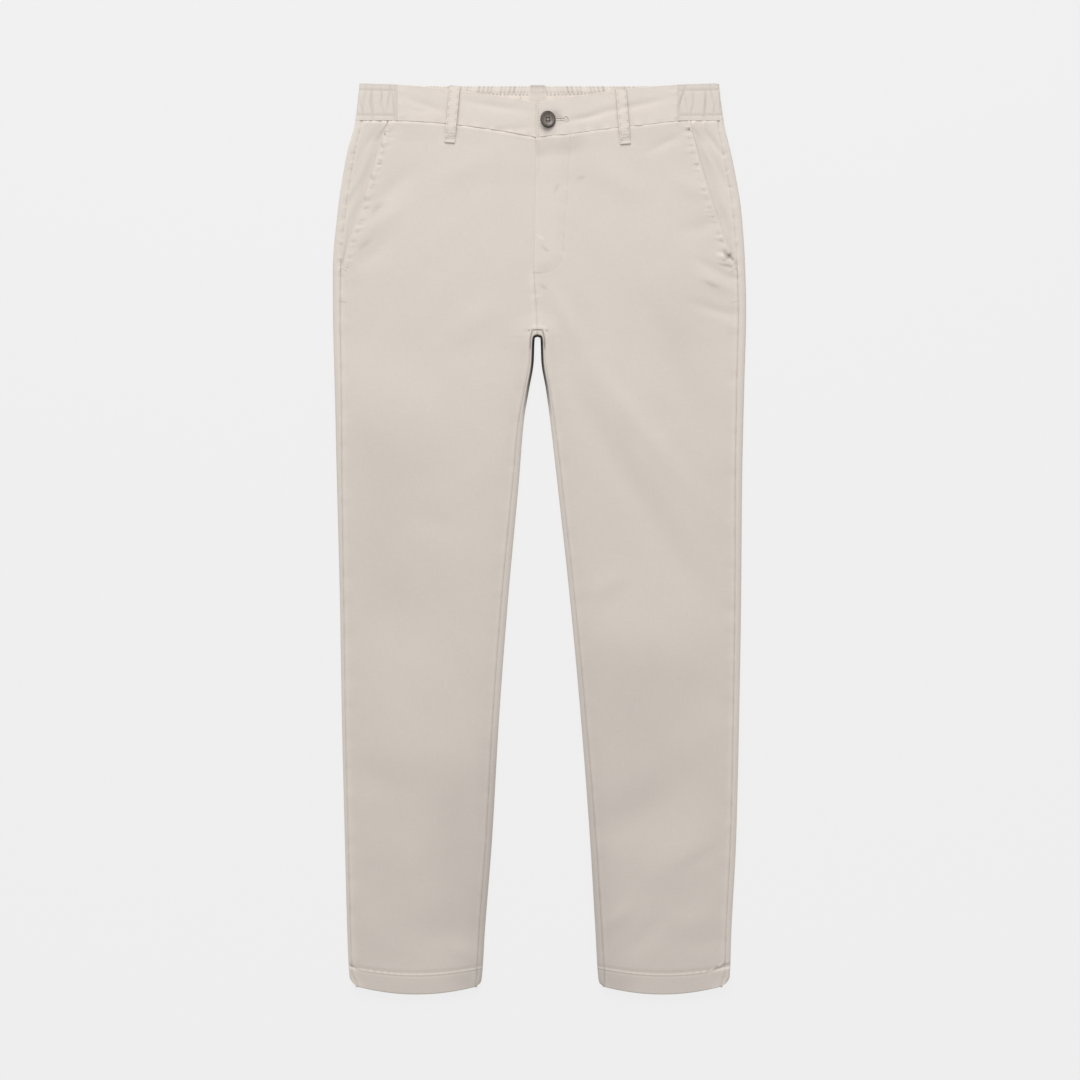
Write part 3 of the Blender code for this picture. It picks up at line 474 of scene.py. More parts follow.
@dataclass(frozen=True)
class Lay:
    """The trousers' own form as they lie: outline, heights, fly, pockets and waistband."""

    length: float = 1046.5
    seam_drop: float = 43.3
    centre: float = -2.3
    hem_drop: float = 1037.3
    hem_stitch: float = 1013.7
    hem_bow_from: float = 880.0
    hem_climb_left: tuple[float, float] = (6.0, 186.0)
    hem_climb_right: tuple[float, float] = (4.2, 201.0)
    hem_climb_end: float = 220.0
    dip_reach: float = 170.0
    dip_fade: float = 140.0
    seam_dip_depth: float = 19.5
    seam_dip_power: float = 1.8
    left_sag: float = 3.0
    back_sag: float = 2.2
    edge_dip_depth: float = 20.7
    edge_dip_power: float = 1.5
    fork_drop: float = 291.0
    tab_drop: float = 283.2
    tab_half: float = 5.8
    tab_end: float = 287.0
    fork_turn: float = 294.0
    leg_top: float = 303.0
    seat_end: float = 262.0
    fork_reach: float = 5.0
    roll_reach: float = 3.6
    edge_rise: float = 2.0
    edge_reach: float = 30.0
    loop_lift: float = 1.9
    lift_from: float = 75.0
    lift_to: float = 115.0
    cloth: float = 1.2
    hem_cloth: float = 2.1
    least_air: float = 0.4
    hem_rise: float = 1.2
    hem_step: float = 3.0
    hem_groove: float = 0.5
    hem_groove_width: float = 2.5
    leg_air: float = 1.7
    leg_air_from: float = 290.0
    leg_air_to: float = 380.0
    fly_top_x: float = -3.2
    fly_foot_x: float = -6.3
    fly_foot_drop: float = 218.0
    fly_curve_drop: float = 187.0
    fly_wide: float = 33.6
    fly_square: float = 2.6
    corner_drop: float = 1018.0
    corner_seam: float = 1.2
    fly_rise: float = 0.7
    underlap_sink: float = 0.8
    fly_ramp: float = 14.0
    underlap_x: float = 12.0
    underlap_drop: float = 202.0
    mouth_rise: float = 0.7
    mouth_reach: float = 34.0
    mouth_foot_drop: float = 209.0
    band_cloth: float = 2.2
    band_face_height: float = 7.4
    side_face_height: float = 8.0
    band_top_drop: float = 1.1
    back_top_drop: float = 2.9
    elastic_end_left: float = 158.0
    elastic_end_right: float = -162.7
    overlap_rise: float = 2.6
    overlap_from: float = 28.0
    overlap_to: float = 62.0
    underlap_band_x: float = 24.0
    band_roll_reach: float = 4.5

    @property
    def top(self) -> float:
        """y of the waist's edge at the sides."""
        return self.length / 2

    @property
    def back_top(self) -> float:
        """y of the back waistband's top edge."""
        return self.top - self.back_top_drop

    @property
    def side_foot(self) -> float:
        """Drop where the pocket's foot has run out into the outer seam."""
        return self.mouth_foot_drop + 7.0

    @property
    def inside_top(self) -> float:
        """y of the topmost row sewn inside the back waistband, at the sides."""
        return self.back_top - 8.1

    @property
    def tab_row(self) -> float:
        """Drop of the row that ends at the middle of the tab over the fork."""
        return self.tab_drop - 1.8

    def elastic_end(self, side: Side) -> float:
        """x where the elastic part of the waistband starts on a side."""
        return self.elastic_end_left if side is Side.LEFT else self.elastic_end_right

    def underside(self, drop: Array) -> Array:
        """Height of the lowest face, which the back belt loops lift at the waist."""
        return self.loop_lift * (1.0 - ramp(drop, self.lift_from, self.lift_to))

    def wall(self, drop: Array) -> Array:
        """Thickness of a leg's cloth, doubled in the turned hem."""
        return self.cloth + (self.hem_cloth - self.cloth) * ease((drop - self.hem_stitch + 2.0) / 4.0)

    def waist_dip(self, x: Array, depth: float, power: float) -> Array:
        """How far the front of the waist hangs below its sides."""
        return depth * np.clip(1.0 - np.abs(x - self.centre) / self.dip_reach, 0.0, 1.0) ** power

    def seam_dip(self, x: Array) -> Array:
        """Dip of the waistband's lower seam, which sags more on the left."""
        sag = self.left_sag * ease(x / 40.0) * (1.0 - ease((x - 110.0) / 60.0))
        return self.waist_dip(x, self.seam_dip_depth, self.seam_dip_power) + sag

    def edge_dip(self, x: Array) -> Array:
        """Dip of the waistband's top edge."""
        return self.waist_dip(x, self.edge_dip_depth, self.edge_dip_power)

    def inside_sag(self, x: Array) -> Array:
        """How far the sewing inside the back waistband hangs at its middle."""
        return self.back_sag * bell(x - self.centre, 70.0)

    def hem_bow(self, side: Side, x: Array, drop: Array) -> Array:
        """How far a row near the hem bows down between the two edges of its leg."""
        outer, inner = edge(OUTER_EDGES, side, drop), edge(INNER_EDGES, side, drop)
        u = np.clip((x - inner) / (outer - inner), 0.0, 1.0)
        fade = ramp(drop, self.hem_bow_from, self.hem_drop)
        return (self.length - self.hem_drop) * fade * 4.0 * u * (1.0 - u)

    def hem_lift(self, side: Side, x: Array) -> Array:
        """How far the hem's stitching climbs towards the outer edge."""
        height, start = self.hem_climb_left if side is Side.LEFT else self.hem_climb_right
        return height * ramp(np.abs(x), start, self.hem_climb_end) ** 1.5

    def front_y(self, side: Side, x: Array, drop: Array) -> Array:
        """y of a point of a front row, from its drop at the row's edge."""
        dip = self.seam_dip(x) * (1.0 - ease((drop - self.seam_drop) / self.dip_fade))
        return self.top - drop - dip - self.hem_bow(side, x, drop)

    def edge_height(self, side: Side, x: Array, drop: Array) -> Array:
        """Rise of the cloth towards the rolled edges of the leg and the fork."""
        to_outer = np.abs(edge(OUTER_EDGES, side, drop) - x)
        to_leg = np.abs(edge(INNER_EDGES, side, drop) - x)
        aside = np.maximum(np.abs(x - self.centre) - self.fork_reach, 0.0)
        to_fork = np.hypot(aside, np.maximum(self.fork_drop - drop, 0.0))
        to_inner = np.where(drop > self.fork_drop, to_leg, to_fork)
        near = ease(1.0 - np.minimum(to_outer, to_inner) / self.edge_reach)
        air = ramp(drop, self.leg_air_from, self.leg_air_to)
        return self.edge_rise * near + self.leg_air * air * (1.0 - near)

    def upper_face(self, side: Side, x: Array, y: Array, drop: Array) -> Array:
        """Height of the upper cloth's outer face, before the fly and the pockets are added."""
        plain = value_at(UPPER_HEIGHTS, drop)
        past = drop - self.hem_stitch
        hem = self.hem_rise * ease(past / self.hem_step) - self.hem_groove * bell(past, self.hem_groove_width)
        lift = plain + self.edge_height(side, x, drop) + folds_height(LEG_FOLDS, x, y) + hem
        return np.maximum(lift, self.underside(drop) + 2.0 * self.wall(drop) + self.least_air)

    def fly_reach(self, x: Array, drop: Array) -> Array:
        """Distance out from the fly's foot as a share of its stitching's: 1 on the stitching."""
        below = np.maximum(drop - self.fly_curve_drop, 0.0) / (self.fly_foot_drop - self.fly_curve_drop)
        aside = np.maximum(x - self.fly_foot_x, 0.0) / value_at(FLY_WIDTHS, drop)
        return (aside**self.fly_square + below**self.fly_square) ** (1.0 / self.fly_square)

    def fly_height(self, x: Array, drop: Array) -> Array:
        """Rise of the left front over the underlap, inside the curved fly stitching."""
        inside = (1.0 - self.fly_reach(x, drop)) * value_at(FLY_WIDTHS, drop)
        return self.fly_rise * ease(inside / self.fly_ramp)

    def mouth_height(self, side: Side, x: Array, drop: Array) -> Array:
        """Rise of a front panel towards its pocket mouth."""
        inside = np.abs(edge(POCKET_MOUTHS, side, drop) - x)
        fade = ease((drop - self.seam_drop) / 20.0) - ease((drop - self.mouth_foot_drop) / 25.0)
        return self.mouth_rise * fade * ease(1.6 * (1.0 - inside / self.mouth_reach))

    def seam_on_top(self, edges: Sequence, wraps: Sequence, side: Side, drop: Array, inward: int) -> Array:
        """x of a seam inside a rolled edge: straight at the hem, until the corner cuts it off."""
        straight = edge(edges, side, np.minimum(drop, self.corner_drop)) + inward * edge(wraps, side, drop)
        corner = edge(edges, side, drop) + inward * self.corner_seam
        return np.maximum(straight * inward, corner * inward) * inward

    def outer_seam(self, side: Side, drop: Array) -> Array:
        """x where the outer seam lies on top, inside the rolled outer edge."""
        return self.seam_on_top(OUTER_EDGES, OUTER_WRAPS, side, drop, -side.sign)

    def inner_seam(self, side: Side, drop: Array) -> Array:
        """x where the inner seam lies on top, inside the rolled inner edge."""
        return self.seam_on_top(INNER_EDGES, INNER_WRAPS, side, drop, side.sign)

    def centre_seam(self, drop: Array) -> Array:
        """x of the centre front seam between the fly and the fork."""
        return np.interp(drop, [self.fly_foot_drop, self.tab_drop], [self.fly_foot_x, self.centre])

    def fly_edge(self, drop: Array) -> Array:
        """x of the left front's free edge over the fly."""
        return self.fly_top_x + (self.fly_foot_x - self.fly_top_x) * drop / self.fly_foot_drop

    def band_face(self, side: Side, x: Array, y: Array) -> Array:
        """Height of the smooth front waistband's outer face."""
        rise = (self.side_face_height - self.band_face_height) * ease((np.abs(x) - 120.0) / 38.0)
        overlap, fade = 0.0, 1.0
        if side is Side.LEFT:
            overlap = self.overlap_rise * (1.0 - ramp(x, self.overlap_from, self.overlap_to))
        else:
            fade = ease((np.abs(x - self.underlap_band_x) - 6.0) / 12.0)
        return self.band_face_height + rise + overlap + fade * folds_height(BAND_CREASES, x, y)

    def band_y(self, x: Array, share: Array) -> Array:
        """y across the front waistband, from its seam to its top edge."""
        seam = self.top - self.seam_drop + 0.15 - self.seam_dip(x)
        edge_y = self.top - self.band_top_drop - self.edge_dip(x)
        return seam + (edge_y - seam) * share

    def fork_path(self, side: Side, drop: Array) -> tuple[Array, Array, Array]:
        """Where the back panel rolls up along the fork and the inner leg.

        Args:
            side: Side of the garment.
            drop: Drops of the rows, from the tab down.

        Returns:
            The folded edge, the way from it into the cloth and the seam on top, each (rows, 2).
        """
        sign, leg_top = side.sign, self.leg_top
        knots = np.array([self.tab_row, self.tab_end, self.fork_turn, leg_top])
        fork_y, tab_y, last_y = (self.top - at for at in (self.fork_drop, self.tab_drop, leg_top))
        inner = float(edge(INNER_EDGES, side, self.fork_drop))
        wrap = float(edge(INNER_WRAPS, side, self.fork_drop))
        fold_x = [self.centre, inner - sign * 0.5, inner, float(edge(INNER_EDGES, side, leg_top))]
        fold_y = [fork_y, fork_y - 1.0, fork_y - 5.0, last_y]
        seam_x = [self.centre, self.centre + sign * self.tab_half, inner + sign * wrap]
        seam_x.append(float(self.inner_seam(side, leg_top)))
        seam_y = [tab_y, tab_y, fork_y - 2.0, last_y]
        in_leg = (drop > leg_top)[:, None]
        leg_fold = plan(edge(INNER_EDGES, side, drop), self.top - drop)
        leg_seam = plan(self.inner_seam(side, drop), self.top - drop)
        fold = np.where(in_leg, leg_fold, plan(through(knots, fold_x, drop), through(knots, fold_y, drop)))
        fork_seam = plan(np.interp(drop, knots, seam_x), np.interp(drop, knots, seam_y))
        seam = np.where(in_leg, leg_seam, fork_seam)
        angle = np.interp(drop, knots, np.radians([90.0, 45.0, 0.0, 0.0]))
        return fold, plan(sign * np.cos(angle), np.sin(angle)), seam

    def centre_line(self, side: Side, drop: Array) -> tuple[Array, Array]:
        """Inner end of each front row: the fly, the centre seam, the tab and then the inseam.

        Args:
            side: Side of the garment.
            drop: Drops of the rows.

        Returns:
            x of the ends and the drops that they lie at.
        """
        if side is Side.LEFT:
            upper = np.where(drop < self.fly_foot_drop, self.fly_edge(drop), self.centre_seam(drop))
        else:
            blend = ease((drop - self.underlap_drop) / 12.0)
            upper = self.underlap_x + (self.centre_seam(drop) - self.underlap_x) * blend
        upper_drop = np.interp(drop, [0.0, self.seat_end, self.tab_row], [0.0, self.seat_end, self.tab_drop])
        seam = self.fork_path(side, drop)[2]
        below = drop > self.tab_row
        return np.where(below, seam[..., 0], upper), np.where(below, self.top - seam[..., 1], upper_drop)

    def side_line(self, side: Side, drop: Array) -> Array:
        """x of the outer end of each front row: the pocket mouth, then the outer seam."""
        start, end = self.mouth_foot_drop, self.mouth_foot_drop + 7.0
        mouth = edge(POCKET_MOUTHS, side, np.minimum(drop, start))
        t = np.clip((drop - start) / (end - start), 0.0, 1.0)
        return mouth + (self.outer_seam(side, np.maximum(drop, end)) - mouth) * t


LAY = Lay()


# ---- sheets and meshes


def linked(name: str, data: bpy.types.ID) -> Thing:
    """Makes an object from its data and puts it in the scene, at the origin."""
    thing = bpy.data.objects.new(name, data)
    bpy.context.scene.collection.objects.link(thing)
    return thing


def mesh_of(name: str, made: bmesh.types.BMesh) -> bpy.types.Mesh:
    """Turns built faces into a smooth mesh."""
    mesh = bpy.data.meshes.new(name)
    made.to_mesh(mesh)
    made.free()
    mesh.shade_smooth()
    return mesh


def add_mark(mesh: bpy.types.Mesh, name: str, values: Array) -> None:
    """Gives a mesh a value at each vertex, for a finish to read."""
    layer = mesh.attributes.new(name, "FLOAT", "POINT")
    layer.data.foreach_set("value", values.astype(np.float32))


def add_flat_map(mesh: bpy.types.Mesh, places: Array) -> None:
    """Gives a mesh the map of its flat cloth, from a place in metres for each vertex."""
    corners = np.empty(len(mesh.loops), np.int32)
    mesh.loops.foreach_get("vertex_index", corners)
    layer = mesh.uv_layers.new(name=FLAT_MAP)
    layer.data.foreach_set("uv", places[corners].astype(np.float32).ravel())


def steps_of(points: Array, axis: int) -> Array:
    """Distances between neighbours in a grid of places, none where a place is missing."""
    return np.nan_to_num(np.linalg.norm(np.diff(points, axis=axis), axis=-1))


def walked_to(points: Array, axis: int) -> Array:
    """Distance walked to each place of a grid along its rows (1) or columns (0)."""
    steps = steps_of(points, axis)
    return np.concatenate([np.zeros_like(steps.take([0], axis)), np.cumsum(steps, axis=axis)], axis=axis)


@dataclass
class Sheet:
    """A grid of places on one face of a piece of cloth."""

    points: Array
    spine: int
    outward: tuple[float, float, float]
    marks: dict[str, Array]

    def flat(self) -> Array:
        """Places on the flat cloth, from the lengths along the rows and down the spine."""
        across = walked_to(self.points, 1)
        across = across - across[:, self.spine : self.spine + 1]
        down = walked_to(self.points[:, self.spine], 0)
        return np.stack([across, np.broadcast_to(-down[:, None], across.shape)], axis=2)

    def cut(self) -> tuple[float, float, float]:
        """Width, length and area of the flat cloth, in metres and square metres."""
        rows, columns = steps_of(self.points, 1).sum(axis=1), steps_of(self.points, 0).sum(axis=0)
        first = self.points[1:, 1:] - self.points[:-1, :-1]
        second = self.points[1:, :-1] - self.points[:-1, 1:]
        area = 0.5 * np.nansum(np.linalg.norm(np.cross(first, second), axis=2))
        width, length = float(rows.max()) * MM, float(columns.max()) * MM
        return width, length, min(float(area) * MM * MM, width * length)

    def normals(self) -> Array:
        """Unit normals of the face, pointing outward."""
        across, down = np.gradient(self.points, axis=1), np.gradient(self.points, axis=0)
        normals = np.cross(across, down)
        normals /= np.maximum(np.linalg.norm(normals, axis=2, keepdims=True), 1e-9)
        middle = normals[len(normals) // 2, self.spine]
        return normals if float(np.dot(middle, self.outward)) > 0 else -normals

    def moved(self, distance: Array) -> "Sheet":
        """The same sheet with each place moved outward by a distance."""
        points = self.points + self.normals() * distance[..., None]
        return Sheet(points, self.spine, self.outward, self.marks)


@dataclass(frozen=True)
class Piece:
    """A finished mesh and what it stands for."""

    thing: Thing
    node: str
    held: str
    cut: tuple[float, float, float]


class PieceMaker:
    """Builds one mesh from sheets, with a map of the flat cloth and the sheets' marks."""

    def __init__(self, name: str) -> None:
        """Starts an empty piece.

        Args:
            name: Name of the piece.
        """
        self.name = name
        self.made = bmesh.new()
        self.spot = self.made.verts.layers.int.new("spot")
        self.sheets: list[Sheet] = []
        self.count = 0

    def add(self, sheet: Sheet) -> None:
        """Adds a sheet as a grid of faces that look outward."""
        rows, columns = sheet.points.shape[:2]
        grid = bmesh.ops.create_grid(self.made, x_segments=columns - 1, y_segments=rows - 1, size=1.0)
        faces = {face for vert in grid["verts"] for face in vert.link_faces}
        places = sheet.points.reshape(-1, 3) * MM
        missing = []
        for vert in grid["verts"]:
            column = round((vert.co.x + 1.0) / 2.0 * (columns - 1))
            row = round((vert.co.y + 1.0) / 2.0 * (rows - 1))
            spot = row * columns + column
            vert[self.spot] = self.count + spot
            if np.isnan(places[spot, 0]):
                missing.append(vert)
            else:
                vert.co = places[spot]
        middle = rows // 2
        across = sheet.points[middle, sheet.spine + 1] - sheet.points[middle, sheet.spine]
        down = sheet.points[middle + 1, sheet.spine] - sheet.points[middle, sheet.spine]
        if float(np.dot(np.cross(across, down), sheet.outward)) < 0:
            bmesh.ops.reverse_faces(self.made, faces=list(faces))
        bmesh.ops.delete(self.made, geom=missing, context="VERTS")
        self.sheets.append(sheet)
        self.count += rows * columns

    def close(self) -> None:
        """Joins the rims of the sheets where they meet."""
        bmesh.ops.remove_doubles(self.made, verts=self.made.verts, dist=0.002 * MM)

    def finish(self) -> Thing:
        """Makes the mesh and its object.

        Returns:
            The new object, at the origin.
        """
        mesh = mesh_of(self.name, self.made)
        spots = np.empty(len(mesh.vertices), np.int32)
        mesh.attributes["spot"].data.foreach_get("value", spots)
        mesh.attributes.remove(mesh.attributes["spot"])
        add_flat_map(mesh, np.concatenate([sheet.flat().reshape(-1, 2) for sheet in self.sheets])[spots] * MM)
        for mark in self.sheets[0].marks:
            values = np.concatenate([sheet.marks[mark].reshape(-1) for sheet in self.sheets])
            add_mark(mesh, mark, values[spots])
        return linked(self.name, mesh)


def wall_of(name: str, sheet: Sheet, cloth: float, thick: Array) -> Thing:
    """Makes a sheet of cloth with a wall grown inward from its outer face.

    Args:
        name: Name of the piece.
        sheet: The outer face.
        cloth: Thickness of the wall where it is thickest, in millimetres.
        thick: Share of that thickness at each place.

    Returns:
        The new object.
    """
    sheet.marks["thick"] = np.broadcast_to(thick, sheet.points.shape[:2])
    maker = PieceMaker(name)
    maker.add(sheet)
    thing = maker.finish()
    shares = np.empty(len(thing.data.vertices), np.float32)
    thing.data.attributes["thick"].data.foreach_get("value", shares)
    group = thing.vertex_groups.new(name="thick")
    for level in np.unique(np.round(shares, 2)):
        group.add(np.flatnonzero(np.round(shares, 2) == level).tolist(), float(level), "REPLACE")
    thing.data.attributes.remove(thing.data.attributes["thick"])
    solid = thing.modifiers.new("cloth", "SOLIDIFY")
    solid.thickness = cloth * MM
    solid.offset = -1.0
    solid.vertex_group = "thick"
    return thing


def pad_of(
    name: str,
    middle: Sheet,
    thick: float,
    outer: Array,
    inner: Array,
    rims: Sequence[float] = (),
    inner_tone: Array | None = None,
) -> Thing:
    """Makes a closed piece of doubled cloth with round rims around a middle sheet.

    Args:
        name: Name of the piece.
        middle: Sheet halfway through its thickness, looking outward.
        thick: Thickness away from the rims, in millimetres.
        outer: Relief of its outer face.
        inner: Relief of its inner face.
        rims: Rounding of its first and last column and row, if not half its thickness.
        inner_tone: The inner face's own crease mark of painted shade and light, if not the outer face's.

    Returns:
        The new object.
    """
    along, down = walked_to(middle.points, 1), walked_to(middle.points, 0)
    half = thick / 2
    swell = np.ones_like(along)
    for away, radius in zip((along, along[:, -1:] - along, down, down[-1:] - down), rims or (half,) * 4):
        inside = np.clip(away / radius, 0.0, 1.0)
        swell = np.minimum(swell, np.sqrt(np.clip(1.0 - (1.0 - inside) ** 2, 0.0, 1.0)))
    top = middle.moved(swell * (half + outer))
    under = middle.moved(-swell * (half + inner))
    under.outward = tuple(-way for way in middle.outward)
    if inner_tone is not None:
        under.marks = {"crease": inner_tone}
    maker = PieceMaker(name)
    maker.add(top)
    maker.add(under)
    maker.close()
    return maker.finish()


class Surface:
    """The cloth as it shows from above and below, on which thread is laid."""

    def __init__(self) -> None:
        """Starts with no cloth."""
        self.places: list[Array] = []
        self.faces: list[Array] = []
        self.count = 0
        self.tree: BVHTree | None = None

    def add(self, points: Array) -> None:
        """Adds a grid of places in millimetres."""
        rows, columns = points.shape[:2]
        index = np.arange(rows * columns).reshape(rows, columns) + self.count
        quads = np.stack([index[:-1, :-1], index[:-1, 1:], index[1:, 1:], index[1:, :-1]], axis=2)
        flat = points.reshape(-1, 3)
        whole = ~np.isnan(flat[quads.reshape(-1, 4) - self.count][:, :, 0]).any(axis=1)
        self.places.append(np.nan_to_num(flat))
        self.faces.append(quads.reshape(-1, 4)[whole])
        self.count += len(flat)
        self.tree = None

    def lay(self, line: Array, above: bool = True) -> tuple[Array, Array]:
        """Drops a plan line on the cloth.

        Args:
            line: Points of the line in plan.
            above: Whether it is laid on from above.

        Returns:
            Its places on the cloth and the normals there.
        """
        if self.tree is None:
            places = np.concatenate(self.places).tolist()
            self.tree = BVHTree.FromPolygons(places, np.concatenate(self.faces).tolist())
        way = Vector((0.0, 0.0, -1.0 if above else 1.0))
        places, normals = [], []
        for x, y in line:
            hit, normal, _, _ = self.tree.ray_cast(Vector((x, y, 60.0 if above else -60.0)), way)
            if hit is not None:
                places.append(hit)
                normals.append(normal if normal.dot(way) < 0 else -normal)
        return np.array(places), np.array(normals)


# ---- seams and relief


def distance_to(line: Array, x: Array, y: Array) -> Array:
    """Distance in plan from points to a line of points."""
    nearest = np.full(np.broadcast(x, y).shape, 1e9)
    for (x0, y0), (x1, y1) in zip(line[:-1], line[1:]):
        run, rise = x1 - x0, y1 - y0
        t = np.clip(((x - x0) * run + (y - y0) * rise) / max(run * run + rise * rise, 1e-9), 0.0, 1.0)
        nearest = np.minimum(nearest, np.hypot(x - x0 - t * run, y - y0 - t * rise))
    return nearest


class SideSeams:
    """Plan lines of the seams and stitched edges on one side, each (points, 2)."""

    def __init__(self, side: Side, lay: Lay) -> None:
        """Works the lines out.

        Args:
            side: Side of the garment.
            lay: How the trousers lie.
        """
        self.side, self.lay = side, lay
        waist, fly_foot, side_foot = lay.seam_drop, lay.fly_foot_drop, lay.side_foot
        inner, outer = partial(lay.inner_seam, side), partial(lay.outer_seam, side)
        self.fly = self.on_front(lay.fly_edge, (waist, 12.0), (fly_foot, 0.0))
        self.centre = self.on_front(lay.centre_seam, (fly_foot, 12.0), (lay.tab_drop, 0.0))
        self.fork = lay.fork_path(side, stepped((lay.tab_row, 1.4), (lay.leg_top, 0.0)))[2]
        self.inseam = self.on_front(inner, (lay.leg_top, 16.0), (lay.hem_drop, 0.0))
        self.outseam = self.on_front(outer, (side_foot, 16.0), (lay.hem_drop, 0.0))
        self.side_seam = self.on_front(outer, (waist, 8.0), (side_foot, 0.0))
        mouth = ((waist, 6.0), (lay.mouth_foot_drop, 2.0), (side_foot, 0.0))
        self.mouth = self.on_front(partial(lay.side_line, side), *mouth)

    def on_front(self, x_at: Callable[[Array], Array], *stretches: tuple[float, float]) -> Array:
        """A plan line from the x that it has at each drop of some stretches."""
        drop = stepped(*stretches)
        x = np.asarray(x_at(drop), float)
        return plan(x, self.lay.front_y(self.side, x, drop))

    def aside(self, line: Array, reach: float) -> Array:
        """A line moved away from the outer edge by a distance, along x."""
        return line - np.array([self.side.sign * reach, 0.0])

    def fly_stitch(self, inside: float = 0.0) -> Array:
        """The curved stitching of the fly, from the waistband round to the centre."""
        lay = self.lay
        down = stepped((lay.seam_drop, 4.0), (lay.fly_curve_drop, 0.0))
        turn = np.linspace(0.0, 0.5 * math.pi, 24)[1:]
        width = value_at(FLY_WIDTHS, down) - inside
        power = 2.0 / lay.fly_square
        curve_x = lay.fly_foot_x + (lay.fly_wide - inside) * np.abs(np.cos(turn)) ** power
        depth = lay.fly_foot_drop - lay.fly_curve_drop - inside
        curve_drop = lay.fly_curve_drop + depth * np.sin(turn) ** power
        x = np.concatenate([lay.fly_foot_x + width, curve_x])
        drop = np.concatenate([down, curve_drop])
        return plan(x, lay.front_y(Side.LEFT, x, drop))


@dataclass(frozen=True)
class SeamShape:
    """How cloth lies beside a seam."""

    depth: float
    width: float
    ridge: float
    ridge_at: float
    ridge_width: float

    def relief(self, distance: Array) -> Array:
        """Height of the cloth at a distance from the seam."""
        swell = self.ridge * bell(distance - self.ridge_at, self.ridge_width)
        return swell - self.depth * bell(distance, self.width)


LEG_SEAM = SeamShape(0.42, 0.8, 0.2, 3.2, 1.8)
CENTRE_SEAM = SeamShape(0.3, 0.8, 0.1, 3.4, 2.0)
HIP_SEAM = SeamShape(0.1, 0.9, 0.12, 2.9, 1.3)
POCKET_EDGE = SeamShape(0.4, 0.8, 0.15, 3.6, 2.2)
FLY_EDGE = SeamShape(0.12, 0.8, 0.22, 2.6, 1.3)
FLY_STITCHING = SeamShape(0.07, 0.7, 0.04, 3.0, 2.0)
WAIST_SEAMS = {
    Side.RIGHT: SeamShape(0.2, 0.9, 0.15, 2.8, 1.8),
    Side.LEFT: SeamShape(0.06, 0.8, 0.12, 2.8, 1.8),
}
LOOP_FOOT = SeamShape(0.2, 0.8, 0.1, 3.6, 1.6)


def painted_relief_shading(relief: Array, full: float) -> Array:
    """Mark for the finish: painted shade down to -1 in hollows of full depth, a little painted light on
    swells.
    """
    return np.clip(relief / full, -1.0, 0.35)


# ---- legs


